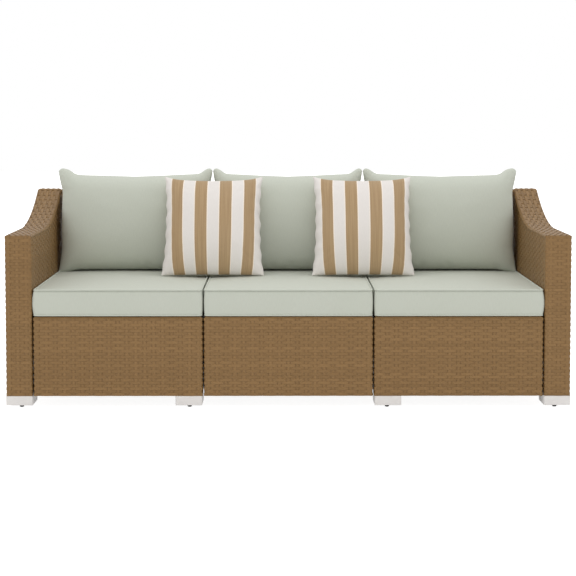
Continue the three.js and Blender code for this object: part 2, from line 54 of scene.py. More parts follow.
# %% [markdown]
# ## The camera
#
# The picture is taken from far in front, a little above the seat, with a long lens. The lens is
# tipped down a few degrees, and a small downward shift keeps the posts of the arms upright. A
# larger shift would keep them exactly upright, but it would spoil views from other angles.

# %% Camera
CAMERA_PLACE = (-0.0239, -5.5475, 0.9798)
CAMERA_TILT = 3.876
CAMERA_TURN = -0.249
LENS = 99.16
SENSOR_WIDTH = 36
DOWNWARD_SHIFT = -0.12

camera_data = bpy.data.cameras.new("camera")
camera_data.lens = LENS
camera_data.sensor_width = SENSOR_WIDTH
camera_data.shift_y = DOWNWARD_SHIFT
camera = bpy.data.objects.new("camera", camera_data)
camera.location = CAMERA_PLACE
camera.rotation_euler = (math.radians(90 - CAMERA_TILT), 0, math.radians(CAMERA_TURN))
scene.collection.objects.link(camera)
scene.camera = camera
print("camera", tuple(camera.location))

# %% [markdown]
# ## Small helpers
#
# A few words are used in every step: a colour as it is read on a screen, a new node with its
# sockets filled, some nodes that every finish needs, and a mesh object that lies at the origin
# with its place in its vertices.

# %% Colours and nodes
def screen(red, green, blue):
    """A colour given from 0 to 255 as it looks on a screen, in the light values that Blender uses."""
    values = []
    for part in (red, green, blue):
        part /= 255
        values.append(part / 12.92 if part <= 0.04045 else ((part + 0.055) / 1.055) ** 2.4)
    return (*values, 1)


def node(tree, kind, settings=None, **inputs):
    """A new node. settings are its own properties. inputs are values or sockets, by the name of
    the input, or by its number where several share a name: _0 is the first."""
    made = tree.nodes.new(kind)
    for name, value in (settings or {}).items():
        setattr(made, name, value)
    for name, value in inputs.items():
        socket = made.inputs[int(name[1:])] if name[0] == "_" else made.inputs[name.replace("_", " ")]
        if isinstance(value, bpy.types.NodeSocket):
            tree.links.new(value, socket)
        else:
            socket.default_value = value
    return made


def math_node(tree, operation, *values):
    inputs = {f"_{index}": value for index, value in enumerate(values)}
    return node(tree, "ShaderNodeMath", {"operation": operation}, **inputs).outputs[0]


def mix_colour(tree, share, first, second):
    """From first to second as share goes from 0 to 1. A Mix node has sockets for every kind of
    value: inputs 0, 6 and 7 and output 2 are those of a colour."""
    mix = node(tree, "ShaderNodeMix", {"data_type": "RGBA"}, _0=share, _6=first, _7=second)
    return mix.outputs[2]


def ramp(tree, value, start, end, low=0.0, high=1.0):
    """Goes from low to high as value goes from start to end, and no further."""
    made = node(
        tree, "ShaderNodeMapRange", Value=value, From_Min=start, From_Max=end, To_Min=low, To_Max=high
    )
    return made.outputs[0]


def noise(tree, place, scale, detail):
    made = node(tree, "ShaderNodeTexNoise", Vector=place, Scale=scale, Detail=detail)
    return made.outputs[0]


def drawn_noise(tree, parts, scales, detail):
    """A noise that is drawn out, because each part of its place has a scale of its own."""
    scaled = [math_node(tree, "MULTIPLY", part, scale) for part, scale in zip(parts, scales)]
    place = node(tree, "ShaderNodeCombineXYZ", **dict(zip("XYZ", scaled))).outputs[0]
    return noise(tree, place, 1.0, detail)


print("a middle grey is", [round(v, 3) for v in screen(128, 128, 128)])


# %% Objects
def mesh_object(name, points, faces, material=None):
    """A smooth object at the origin, with its place in its points."""
    mesh = bpy.data.meshes.new(name)
    mesh.from_pydata([tuple(p) for p in points], [], faces)
    mesh.update()
    mesh.shade_smooth()
    if material:
        mesh.materials.append(material)
    made = bpy.data.objects.new(name, mesh)
    scene.collection.objects.link(made)
    return made


def subdivide(piece):
    """One smooth subdivision, the same on the screen as in a render."""
    subdivision = piece.modifiers.new("smooth", "SUBSURF")
    subdivision.levels = subdivision.render_levels = 1


print("helpers ready")

# %% [markdown]
# ## The cloth of the cushions
#
# The covers are a plain woven outdoor cloth in sage green. Up close it is a grid of fat yarns, a
# little lighter and darker from yarn to yarn, with a soft sheen where the light grazes it. The
# yarns follow the piece's own UV map, which is laid out in metres, so the weave bends with the
# cover as real cloth does.

# %% Cloth material
YARN = 0.0017
SLUB_SCALES = (500.0, 60.0)


def yarn_pattern(tree, across, along):
    """Height of a plain weave round a middle of 0.5: one yarn over, the next one under."""
    first = math_node(tree, "SINE", math_node(tree, "MULTIPLY", across, math.tau / (2 * YARN)))
    second = math_node(tree, "SINE", math_node(tree, "MULTIPLY", along, math.tau / (2 * YARN)))
    return math_node(tree, "MULTIPLY_ADD", first, second, 0.5)


def cloth_material(name, colour_of):
    """A woven cloth. colour_of gives the colour's socket from the tree and the two UV sockets."""
    material = bpy.data.materials.new(name)
    material.use_nodes = True
    tree = material.node_tree
    shader = tree.nodes["Principled BSDF"]
    shader.inputs["Roughness"].default_value = 0.92
    shader.inputs["Sheen Weight"].default_value = 0.12
    shader.inputs["Sheen Roughness"].default_value = 0.55
    shader.inputs["Specular IOR Level"].default_value = 0.25
    place = node(tree, "ShaderNodeUVMap", {"uv_map": "cloth"}).outputs[0]
    parts = node(tree, "ShaderNodeSeparateXYZ", Vector=place)
    across, along = parts.outputs[0], parts.outputs[1]
    slubs = drawn_noise(tree, (across, along), SLUB_SCALES, detail=2.0)
    in_sofa = node(tree, "ShaderNodeTexCoord").outputs["Object"]
    patches = noise(tree, in_sofa, 9.0, 3.0)
    base = colour_of(tree, across, along)
    darker = node(tree, "ShaderNodeHueSaturation", Value=0.94, Color=base).outputs[0]
    lighter = node(tree, "ShaderNodeHueSaturation", Value=1.05, Color=base).outputs[0]
    yarns = mix_colour(tree, slubs, darker, lighter)
    faded = node(tree, "ShaderNodeHueSaturation", Saturation=0.9, Value=1.03, Color=yarns).outputs[0]
    tree.links.new(mix_colour(tree, patches, yarns, faded), shader.inputs["Base Color"])
    weave = yarn_pattern(tree, across, along)
    height = math_node(tree, "ADD", weave, math_node(tree, "MULTIPLY", slubs, 0.5))
    bump = node(tree, "ShaderNodeBump", Strength=0.25, Distance=0.0004, Height=height)
    tree.links.new(bump.outputs[0], shader.inputs["Normal"])
    return material


def plain_sage(tree, across, along):
    colour = node(tree, "ShaderNodeRGB").outputs[0]
    colour.default_value = screen(198, 202, 189)
    return colour


sage = cloth_material("sage_cloth", plain_sage)
print("cloth:", sage.name)

# %% [markdown]
# ## The striped cloth
#
# The two small pillows wear a cloth of broad upright stripes: nine of them, white at both edges
# and tan in between. Each tan stripe has a thin cream yarn on both sides. The stripes are a
# function of the cloth's own width, so they swell where the pillow swells and lean in where the
# sides draw in, which a flat projection from the front would not do.

# %% Striped cloth
STRIPES = 9
THROW_WIDTH = 0.362
TAN_WIDER = 0.08
EDGE_BLUR = 0.03
CREAM_REACH = 0.12
STREAK_SCALES = (420.0, 5.0)


def stripes(tree, across, along):
    """Colour of the stripes. A sine runs across the cloth, and where it is below 0 lies a tan one."""
    turns = math_node(tree, "MULTIPLY_ADD", across, STRIPES / THROW_WIDTH, STRIPES / 2)
    sine = math_node(tree, "SINE", math_node(tree, "MULTIPLY", turns, math.pi))
    wave = math_node(tree, "SUBTRACT", sine, TAN_WIDER)
    long_yarns = drawn_noise(tree, (across, along), STREAK_SCALES, detail=1.0)
    streaked = ramp(tree, long_yarns, 0.35, 0.65)
    tan = mix_colour(tree, streaked, screen(165, 136, 99), screen(178, 150, 112))
    # Past the outer white stripes the sine would begin another tan one, so it ends in their middle.
    inside = math_node(
        tree, "LESS_THAN", math_node(tree, "ABSOLUTE", across), THROW_WIDTH * 4 / STRIPES
    )
    tan_share = math_node(tree, "MULTIPLY", ramp(tree, wave, EDGE_BLUR, -EDGE_BLUR), inside)
    near_edge = math_node(tree, "LESS_THAN", math_node(tree, "ABSOLUTE", wave), CREAM_REACH)
    cream_share = math_node(tree, "MULTIPLY", math_node(tree, "MULTIPLY", near_edge, inside), 0.9)
    body = mix_colour(tree, tan_share, screen(228, 222, 217), tan)
    return mix_colour(tree, cream_share, body, screen(246, 234, 220))


striped = cloth_material("striped_cloth", stripes)
print("cloth:", striped.name)

# %% [markdown]
# ## Filling a cover
#
# A cushion cover is sewn from flat panels and takes its shape from what is stuffed into it. It
# could be drawn by hand, but Blender's Cloth does what the filling does: a pressure swells the
# cover while its seams hold. The seam points are pinned, gravity is off, and no point may move
# further than a cap, so that every cushion stays in the space that its CAD solid holds.

# %% Inflate a cover
FILL_FRAMES = 18


def inflate(piece, pinned, pressure, cap):
    """Swells a closed cover between its pinned seams."""
    mesh = piece.data
    start = np.zeros(len(mesh.vertices) * 3)
    mesh.vertices.foreach_get("co", start)
    seams = piece.vertex_groups.new(name="seams")
    seams.add([int(i) for i in pinned], 1.0, "REPLACE")
    cloth = piece.modifiers.new("filling", "CLOTH")
    settings = cloth.settings
    settings.quality = 6
    settings.mass = 0.3
    settings.tension_stiffness = settings.compression_stiffness = 12
    settings.shear_stiffness = 4
    settings.bending_stiffness = 0.6
    settings.use_pressure = True
    settings.uniform_pressure_force = pressure
    settings.effector_weights.gravity = 0
    settings.vertex_group_mass = "seams"
    cloth.collision_settings.use_collision = False
    cloth.point_cache.frame_start = 1
    cloth.point_cache.frame_end = FILL_FRAMES
    for step in range(1, FILL_FRAMES + 1):
        scene.frame_set(step)
    filled = piece.evaluated_get(bpy.context.evaluated_depsgraph_get()).data
    end = np.zeros(len(filled.vertices) * 3)
    filled.vertices.foreach_get("co", end)
    moves = (end - start).reshape(-1, 3)
    lengths = np.linalg.norm(moves, axis=1, keepdims=True)
    moves *= np.minimum(1, cap / np.maximum(lengths, 1e-9))
    piece.modifiers.remove(cloth)
    piece.vertex_groups.clear()
    scene.frame_set(1)
    print(piece.name, "swelled by up to", round(float(lengths.max()) * 1000, 1), "mm")
    return start.reshape(-1, 3) + moves


print("filling takes", FILL_FRAMES, "frames a cover")

# %% Unevenness of the filling
WAVES = 6


def fullness(across, up, power):
    """How far a stuffed cover stands out, from 1 in its middle to 0 at its seam."""
    return ((1 - across**4) * (1 - up**4)) ** power


def soft_wave(points, seed, size, reach):
    """A gentle unevenness of the filling: a sum of a few broad waves with a fixed seed."""
    chance = np.random.RandomState(seed)
    total = np.zeros(len(points))
    for _ in range(WAVES):
        direction = chance.normal(size=3)
        direction *= math.tau / (np.linalg.norm(direction) * reach * chance.uniform(0.7, 1.6))
        total += np.sin(points @ direction + chance.uniform(0, math.tau))
    return total * size / WAVES


print("half way to a corner a cover is", round(fullness(0.5, 0.5, 0.5), 2), "full")

# %% [markdown]
# ## The pillow form
#
# A knife-edge pillow is two panels sewn together along their rims. Its corners stay flat and
# stand out as ears, and its sides draw in between them. The form starts as two grids of points,
# finer towards the seam, and each grid line keeps its own width of cloth for the UV map.

# %% Panels and pillows
SEAM = 0.003


def spread(count):
    """Numbers from -1 to 1 that lie closer together towards both ends."""
    even = np.linspace(-1, 1, count)
    return 0.5 * even + 0.5 * np.sin(even * math.pi / 2)


def panel_faces(base, columns, rows, turned):
    """The quads of a panel: a grid of points, numbered from base, seen from the one side or the other."""
    quads = []
    for row in range(rows - 1):
        for column in range(columns - 1):
            a = base + row * columns + column
            quad = (a, a + 1, a + columns + 1, a + columns)
            quads.append(quad[::-1] if turned else quad)
    return quads


def panel_rim(base, columns, rows):
    """The numbers of a panel's rim points, once round."""
    rim = [base + c for c in range(columns)]
    rim += [base + r * columns + columns - 1 for r in range(1, rows)]
    rim += [base + (rows - 1) * columns + c for c in range(columns - 2, -1, -1)]
    rim += [base + r * columns for r in range(rows - 2, 0, -1)]
    return rim


def pillow_grid(columns, rows, outline, half_thickness):
    """Points, faces, rim points and grid coordinates of a pillow, as (across, depth, up)."""
    across, up = np.meshgrid(spread(columns), spread(rows))
    flat_x, flat_z = outline(across, up)
    half = half_thickness(across, up)
    points, faces, rims = [], [], []
    for side in (-1, 1):
        base = len(points)
        depth = side * (SEAM / 2 + half)
        points.extend(np.stack([flat_x, depth, flat_z], axis=-1).reshape(-1, 3))
        faces += panel_faces(base, columns, rows, turned=side > 0)
        rims.append(panel_rim(base, columns, rows))
    front_rim, back_rim = rims
    for index, a in enumerate(front_rim):
        b = front_rim[(index + 1) % len(front_rim)]
        c = back_rim[(index + 1) % len(back_rim)]
        faces.append((b, a, back_rim[index], c))
    grid = np.stack([across, up], axis=-1).reshape(-1, 2)
    return np.array(points), faces, front_rim + back_rim, np.concatenate([grid, grid])


print("five numbers, closer at the ends:", spread(5).round(2))

# %% Flat cloth of a pillow
EVENING_PASSES = 60


def blurred(values, axis):
    """Evens values out along one axis of a grid; its two ends stay as they are."""
    values = np.moveaxis(values.copy(), axis, 0)
    for _ in range(EVENING_PASSES):
        values[1:-1] = values[1:-1] / 2 + (values[:-2] + values[2:]) / 4
    return np.moveaxis(values, 0, axis)


def cloth_lengths(points, columns, rows, width, height):
    """UV of both panels in metres of flat cloth, measured out from the middle of the filled cover."""
    panels = points.reshape(2, rows, columns, 3)
    uv = np.zeros((2, rows, columns, 2))
    for axis, size, coordinate in ((2, width, 0), (1, height, 1)):
        steps = np.linalg.norm(np.diff(panels, axis=axis), axis=-1)
        run = np.cumsum(steps, axis=axis)
        run = np.concatenate([np.zeros_like(np.take(run, [0], axis=axis)), run], axis=axis)
        middle = np.take(run, [run.shape[axis] // 2], axis=axis)
        whole = blurred(np.take(run, [-1], axis=axis), 3 - axis)
        uv[..., coordinate] = (run - middle) / whole * size
    return uv.reshape(-1, 2)


def set_uv(piece, uv):
    layer = piece.data.uv_layers.new(name="cloth")
    loops = np.zeros(len(piece.data.loops), dtype=int)
    piece.data.loops.foreach_get("vertex_index", loops)
    layer.data.foreach_set("uv", uv[loops].ravel())


print("widths are evened out", EVENING_PASSES, "times")

# %% Gathers along the seam
GATHER_REACH = 0.022
GATHER_LENGTHS = (0.019, 0.031, 0.052)
FOLD_IN = 0.05
FOLD_LENGTH = 0.035
FOLD_WIDTH = 0.014
STIFF_RIM = 0.006


def seam_puckers(points, grid, width, height, seed, size):
    """Small gathers that run in from the seam, and a fold in from each corner."""
    chance = np.random.RandomState(seed)
    across, up = grid[:, 0], grid[:, 1]
    gap_x = (1 - np.abs(across)) * width / 2
    gap_z = (1 - np.abs(up)) * height / 2
    near = np.exp(-np.minimum(gap_x, gap_z) / GATHER_REACH)
    along = np.where(gap_x < gap_z, up * height / 2, across * width / 2)
    quarter = (across > 0).astype(int) + 2 * (up > 0).astype(int)
    wave = np.zeros(len(points))
    for length in GATHER_LENGTHS:
        wave += np.sin(math.tau * along / length + chance.uniform(0, math.tau, 4)[quarter])
    corner = np.hypot(gap_x, gap_z)
    off_diagonal = np.abs(gap_x - gap_z)
    fold = np.exp(-((corner - FOLD_IN) / FOLD_LENGTH) ** 2)
    fold = fold * np.exp(-((off_diagonal / FOLD_WIDTH) ** 2))
    rim_free = np.clip(np.minimum(gap_x, gap_z) / STIFF_RIM, 0, 1)
    moved = points.copy()
    moved[:, 1] += np.sign(points[:, 1]) * rim_free * (near * wave * size - fold * size)
    return moved


print("gathers reach", GATHER_REACH * 1000, "mm in from a seam")

# %% [markdown]
# ## The three back cushions
#
# The back cushions are large soft pillows without piping. Their upper corners stand up as broad
# round ears, the upper edge sags between them, and the front is fullest under the middle, where
# the filling has settled, and rolls in above the seat. An ear beside an arm has more room and is
# broader than one beside the next cushion. So two covers are filled by simulation, one for the
# ends and one for the middle, and the outlines are read from short lists of measured points. The
# simulation creases the cloth towards the ears, and soft filling would not, so the swelling is
# evened out there.

# %% A curve through measured points
def through(pairs, at):
    """A smooth curve through (place, value) pairs, read at any places."""
    places, values = np.array(pairs).T
    slopes = np.gradient(values, places)
    at = np.clip(at, places[0], places[-1])
    index = np.clip(np.searchsorted(places, at) - 1, 0, len(places) - 2)
    gap = places[index + 1] - places[index]
    t = (at - places[index]) / gap
    rise = values[index + 1] - values[index]
    start, end = slopes[index] * gap, slopes[index + 1] * gap
    return values[index] + t * (
        start + t * (3 * rise - 2 * start - end + t * (start + end - 2 * rise))
    )


print("through (0, 0) and (1, 1), half way:", float(through(((0, 0), (1, 1)), 0.5)))

# %% Measured outlines of the back cushions
OUTER_EAR = (
    (0, 0.0095), (0.004, 0.0045), (0.012, 0), (0.026, 0.0015), (0.040, 0.0062), (0.052, 0.0145),
    (0.065, 0.0205), (0.090, 0.0235), (0.138, 0.0250), (0.300, 0.0300),
)
INNER_EAR = (
    (0, 0.0080), (0.003, 0.0035), (0.009, 0), (0.018, 0.0013), (0.027, 0.006), (0.036, 0.0125),
    (0.046, 0.0170), (0.065, 0.0200), (0.095, 0.0212), (0.177, 0.0255), (0.300, 0.0300),
)
OUTER_SIDE = (
    (-1, -0.002), (-0.9, 0.002), (-0.75, 0.0065), (-0.55, 0.0115), (-0.2, 0.0105), (0.05, 0.0118),
    (0.4, 0.0150), (0.57, 0.0160), (0.73, 0.0100), (0.85, 0.0055), (0.95, 0.0030), (1, 0.0030),
)
INNER_SIDE = (
    (-1, 0.0035), (-0.75, 0.0065), (-0.55, 0.0115), (-0.2, 0.0105), (0.05, 0.0118), (0.4, 0.0150),
    (0.57, 0.0160), (0.73, 0.0100), (0.85, 0.0055), (0.95, 0.0030), (1, 0.0030),
)
BACK_CORNER_LIFT = 0.010
LIFT_LENGTH = 0.07
EAR_RISE = 0.003
RIM_CLEAR = 0.0006
PATTERN_SHARE = 0.8
PATTERN_POWER = 0.55

back_low, back_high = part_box("middle_back_cover")
back_size = back_high - back_low
back_middle = (back_low + back_high) / 2


def back_outline(left_ear, left_side):
    """The outline of a cushion whose left side is given and whose right side is an inner one."""
    def outline(across, up):
        half = back_size.x / 2 - RIM_CLEAR
        edge = half * (1 - np.abs(across))
        drop = np.where(across < 0, through(left_ear, edge), through(INNER_EAR, edge))
        lift = BACK_CORNER_LIFT * np.clip(edge / LIFT_LENGTH, 0, 1) ** 2
        level = up * back_size.z / 2 + np.where(
            up > 0, (EAR_RISE - drop) * up**4, lift * up**4
        )
        side = np.where(across < 0, through(left_side, up), through(INNER_SIDE, up))
        return across * (half - side * across**2), level

    return outline


def back_thickness(across, up):
    """Half the thickness of the unfilled cover, which rolls in further below than above."""
    rolled = np.where(up < 0, np.abs(up) ** 2.6, np.abs(up) ** 4)
    room = back_size.y / 2 - SEAM / 2
    return PATTERN_SHARE * room * ((1 - across**4) * (1 - rolled)) ** PATTERN_POWER


print("a back cushion has", [round(v, 3) for v in back_size], "m of room")

# %% Filling the back cushions
BACK_COLUMNS, BACK_LEVELS = 85, 61
EAR_BEGINS = 0.6
EVENED_BELOW = 0.1


def filled_back(name, left_ear, left_side):
    """The shape of a filled cover, with its faces and its grid coordinates."""
    outline = back_outline(left_ear, left_side)
    points, faces, rim, grid = pillow_grid(BACK_COLUMNS, BACK_LEVELS, outline, back_thickness)
    pattern = mesh_object(name, points, faces)
    swelling = inflate(pattern, rim, pressure=4.0, cap=0.024) - points
    bpy.data.objects.remove(pattern)
    layers = swelling.reshape(2, BACK_LEVELS, BACK_COLUMNS, 3)
    smooth = blurred(blurred(layers, 1), 2).reshape(-1, 3)
    to_ear = (np.abs(grid[:, 0]) + grid[:, 1] - EAR_BEGINS) / (1 - EAR_BEGINS)
    to_ear = np.clip(to_ear, EVENED_BELOW, 1)
    shape = points + swelling + (smooth - swelling) * to_ear[:, None]
    shape[:, 1] *= (back_size.y / 2) / -shape[:, 1].min()
    print(name, "fills", [round(float(v), 3) for v in np.ptp(shape, axis=0)])
    return shape, faces, grid


end_shape, back_faces, back_grid = filled_back("end_cushion_pattern", OUTER_EAR, OUTER_SIDE)
middle_shape, _, _ = filled_back("middle_cushion_pattern", INNER_EAR, INNER_SIDE)

# %% [markdown]
# ## Three copies of the back cushion
#
# The end cushions are one shape and its mirror image, a little wider than the middle one, whose
# place in the row is narrower. Copies would look like copies, so each gets its own gathers and
# waves. Low down on the front, where a cushion sits on the seat, it also gets a few short folds.

# %% Three copies of the back cushion
BACK_CLEAR = 0.0004
END_WIDER = 0.0110
MIDDLE_NARROWER = 0.0030
PINCHES = {"left": (0.02, 0.17), "middle": (-0.2, 0.05), "right": (-0.1, 0.24)}
PINCH_DEPTH = 0.0036
PINCH_HALF_WIDTH = 0.009
PINCH_HEIGHT = 0.88
PINCH_LENGTH = 0.09
SHOULDER_ASIDE = 0.02
SHOULDER_HALF_WIDTH = 0.01


def pinched(points, grid, places):
    """Presses short upright folds into the front, low down where the cushion sits on the seat."""
    across, up = grid[:, 0], grid[:, 1]
    depth = np.zeros(len(points))
    for place in places:
        aside = (across - place) * back_size.x / 2
        shoulders = np.exp(-(((np.abs(aside) - SHOULDER_ASIDE) / SHOULDER_HALF_WIDTH) ** 2))
        depth += np.exp(-((aside / PINCH_HALF_WIDTH) ** 2)) - 0.4 * shoulders
    low_down = np.exp(-(((up + PINCH_HEIGHT) / PINCH_LENGTH) ** 2)) * (points[:, 1] < 0)
    points[:, 1] += PINCH_DEPTH * depth * low_down


def swell_unevenly(shape, grid, seed, size, reach):
    """Lets the filling wander, most in the middle of a pillow and not at its seam."""
    swell = soft_wave(shape, seed, size, reach) * fullness(grid[:, 0], grid[:, 1], 0.5)
    shape[:, 1] += np.sign(shape[:, 1]) * swell


for number, side in enumerate(("left", "middle", "right")):
    low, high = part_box(f"{side}_back_cover")
    form = middle_shape if side == "middle" else end_shape
    back_uv = cloth_lengths(form, BACK_COLUMNS, BACK_LEVELS, back_size.x, back_size.z)
    shape = seam_puckers(form, back_grid, back_size.x, back_size.z, seed=11 + number, size=0.0007)
    pinched(shape, back_grid, PINCHES[side])
    swell_unevenly(shape, back_grid, seed=31 + number, size=0.004, reach=0.3)
    if side == "middle":
        shape[:, 0] *= 1 - MIDDLE_NARROWER / (back_size.x / 2)
    else:
        shape[:, 0] += END_WIDER * (1 + back_grid[:, 0]) / 2
    if side == "right":
        shape[:, 0] *= -1
    shape += np.array([(low.x + high.x) / 2, back_middle.y, back_middle.z])
    shape[:, 1] = np.minimum(shape[:, 1], high.y - BACK_CLEAR)
    shape[:, 2] = np.maximum(shape[:, 2], low.z)
    turned = [quad[::-1] for quad in back_faces] if side == "right" else back_faces
    cushion = mesh_object(f"{side}_back_cushion", shape, turned, sage)
    set_uv(cushion, back_uv)
    subdivide(cushion)
    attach(cushion, "sofa")
    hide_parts(f"{side}_back_cover", f"{side}_back_fill")
    print(cushion.name, len(cushion.data.polygons), "faces")

# %% [markdown]
# ## The two striped pillows
#
# A throw pillow is made in the same way, smaller and fuller. It leans back over the joint between
# two back cushions, so its points are tilted about its middle. It is rounder from top to foot
# than the simulation leaves it, so its front turns steadily away from the light. Its sides draw
# in more in the middle, and their seams are slightly wavy where the thread pulls. The cloth is
# gathered a little at the foot and stretched at the top, so the stripes fan out upwards.

# %% Outline of a striped pillow
THROW_POINTS = 65
THROW_THICKNESS = 0.150
THROW_TAPER = 0.006
SIDE_DRAW = 0.014
THREAD_PULL = 0.0020
THREAD_LENGTH = 0.055
TOP_SAG, FOOT_SAG = 0.014, 0.004
TIP_RISE = 0.0040


def throw_outline(across, up):
    half = THROW_WIDTH / 2
    narrower = THROW_TAPER * np.clip(up, 0, 1)
    drawn_in = SIDE_DRAW * (1 - np.abs(up) ** 2.5) * np.abs(across) ** 2
    thread = THREAD_PULL * np.sin(math.tau * up * half / THREAD_LENGTH + across) * np.abs(across) ** 6
    ear = 0.4 * across**2 + 0.6 * across**4
    sag = np.where(up > 0, TOP_SAG, FOOT_SAG) * np.abs(up) ** 3 * (1 - ear)
    wide = across * (half - narrower - drawn_in) + np.sign(across) * thread * (1 - up**8)
    tip = TIP_RISE * np.clip(up, 0, 1) ** 6 * across**6
    return wide, up * half - np.sign(up) * sag + tip


def throw_thickness(across, up):
    room = THROW_THICKNESS / 2 - SEAM / 2
    return PATTERN_SHARE * room * fullness(across, up, PATTERN_POWER)


points, throw_faces, rim, throw_grid = pillow_grid(
    THROW_POINTS, THROW_POINTS, throw_outline, throw_thickness
)
print("a striped pillow has", len(points), "points")

# %% Two striped pillows
THROW_LEAN = math.radians(20)
THROW_ROUND = 0.3
STRIPE_FAN = ((-1, 1.035), (-0.3, 1.03), (0.3, 1.010), (0.8, 0.95), (1, 0.925))
STRIPES_ASIDE = 0.0018

pattern = mesh_object("throw_pattern", points, throw_faces)
form = inflate(pattern, rim, pressure=4.0, cap=0.022)
bpy.data.objects.remove(pattern)
form[:, 1] *= 1 - THROW_ROUND * throw_grid[:, 1] ** 2
form[:, 1] *= (THROW_THICKNESS / 2) / -form[:, 1].min()
throw_uv = cloth_lengths(form, THROW_POINTS, THROW_POINTS, THROW_WIDTH, THROW_WIDTH)
throw_uv[:, 0] = throw_uv[:, 0] * through(STRIPE_FAN, throw_grid[:, 1]) - STRIPES_ASIDE
lean, rise = math.sin(THROW_LEAN), math.cos(THROW_LEAN)

for number, side in enumerate(("left", "right")):
    low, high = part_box(f"{side}_throw_cover")
    centre = (low + high) / 2
    shape = seam_puckers(form, throw_grid, THROW_WIDTH, THROW_WIDTH, seed=51 + number, size=0.0006)
    swell_unevenly(shape, throw_grid, seed=61 + number, size=0.003, reach=0.2)
    across, deep, up = shape.T
    placed = np.stack([
        centre.x + across,
        centre.y + up * lean + deep * rise,
        centre.z + up * rise - deep * lean,
    ], axis=-1)
    pillow = mesh_object(f"{side}_striped_pillow", placed, throw_faces, striped)
    set_uv(pillow, throw_uv)
    subdivide(pillow)
    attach(pillow, "sofa")
    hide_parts(f"{side}_throw_cover", f"{side}_throw_fill")
    print(pillow.name, [round(float(v), 3) for v in np.ptp(placed, axis=0)])

# %% [markdown]
# ## The three seat cushions
#
# A seat cushion is a slab of foam in a boxed cover: a top and a bottom panel with a strip of
# cloth between them. The panels stretch over the foam, so the top is slightly crowned and the
# strip bulges between its two seams. The cover starts as two grids and a ring of quads, and the
# simulation tightens it while both seams are pinned. Then the lower seam is drawn up a little, and
# the sides swell towards their neighbours, most beside an arm, where there is more room.

# %% Boxed seat cover
SEAT_COLUMNS, SEAT_ROWS = 51, 61
BOX_ROWS = 8
SEAT_CORNER = 0.009
SEAT_TUCK = 0.0035
SEAT_CROWN = 0.0075
PATTERN_CROWN = 0.006
BOX_BULGE = 0.0015

seat_low, seat_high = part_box("middle_seat_cover")
seat_size = seat_high - seat_low
SEAT_EDGE_TOP = seat_size.z - SEAT_CROWN


def round_corner(x, y, half_x, half_y, radius):
    """Moves a point of a rectangle's rim onto the arc of its rounded corner."""
    over_x, over_y = abs(x) - (half_x - radius), abs(y) - (half_y - radius)
    if over_x <= 0 or over_y <= 0:
        return x, y
    stretch = min(1, max(over_x, over_y) / math.hypot(over_x, over_y))
    return (
        math.copysign(half_x - radius + over_x * stretch, x),
        math.copysign(half_y - radius + over_y * stretch, y),
    )


def seat_panel(level):
    """The points of the top or the bottom panel; the top one has a low crown."""
    half_x, half_y = seat_size.x / 2 - SEAT_TUCK, seat_size.y / 2 - SEAT_TUCK
    points = []
    for v in spread(SEAT_ROWS):
        for u in spread(SEAT_COLUMNS):
            scale = max(abs(u), abs(v))
            x, y = round_corner(
                u * half_x, v * half_y, half_x * scale, half_y * scale, SEAT_CORNER * scale
            )
            crown = PATTERN_CROWN * float(fullness(u, v, 0.6)) if level else 0.0
            points.append((x, y, level + crown))
    return points


def seat_cover_grid():
    """Points, faces and the two seam rings of a boxed cover."""
    points, faces, rings = [], [], []
    for level in (SEAT_EDGE_TOP, 0.0):
        base = len(points)
        points += seat_panel(level)
        faces += panel_faces(base, SEAT_COLUMNS, SEAT_ROWS, turned=not level)
        rings.append(panel_rim(base, SEAT_COLUMNS, SEAT_ROWS))
    top_ring, bottom_ring = rings
    previous = bottom_ring
    for step in range(1, BOX_ROWS + 1):
        share = step / BOX_ROWS
        if step == BOX_ROWS:
            current = top_ring
        else:
            current = []
            for index in bottom_ring:
                x, y, _ = points[index]
                out = 1 + BOX_BULGE * (1 - (2 * share - 1) ** 2) / max(abs(x), abs(y))
                current.append(len(points))
                points.append((x * out, y * out, SEAT_EDGE_TOP * share))
        for index in range(len(previous)):
            following = (index + 1) % len(previous)
            faces.append((previous[index], previous[following], current[following], current[index]))
        previous = current
    return np.array(points), faces, top_ring, bottom_ring


points, seat_faces, top_ring, bottom_ring = seat_cover_grid()
print("a seat cover has", len(points), "points and", len(top_ring), "round each seam")

# %% Filling the seat cover
SEAT_CLEAR = 0.0002
SEAT_UNDERCUT = 0.0018

pattern = mesh_object("seat_pattern", points, seat_faces)
seat_form = inflate(pattern, top_ring + bottom_ring, pressure=3.0, cap=0.022)
bpy.data.objects.remove(pattern)
half_x, half_y = seat_size.x / 2 - SEAT_CLEAR, seat_size.y / 2 - SEAT_CLEAR
seat_form[:, 0] = np.clip(seat_form[:, 0], -half_x, half_x)
seat_form[:, 1] = np.clip(seat_form[:, 1], -half_y, half_y)
lid = seat_form[:, 2] > SEAT_EDGE_TOP
seat_form[lid, 2] = SEAT_EDGE_TOP + (seat_form[lid, 2] - SEAT_EDGE_TOP) * (
    (SEAT_CROWN - SEAT_CLEAR) / (seat_form[:, 2].max() - SEAT_EDGE_TOP)
)
seat_form[:, 2] = np.maximum(seat_form[:, 2], 0)
seat_form[bottom_ring, 2] += SEAT_UNDERCUT
print("seat cushion fills", [round(float(v), 3) for v in np.ptp(seat_form, axis=0)])

# %% Three seat cushions
ARM_SIDE_OUT = 0.0010
ARM_SIDE_BULGE = 0.0050
NEXT_SIDE_BULGE = 0.0011


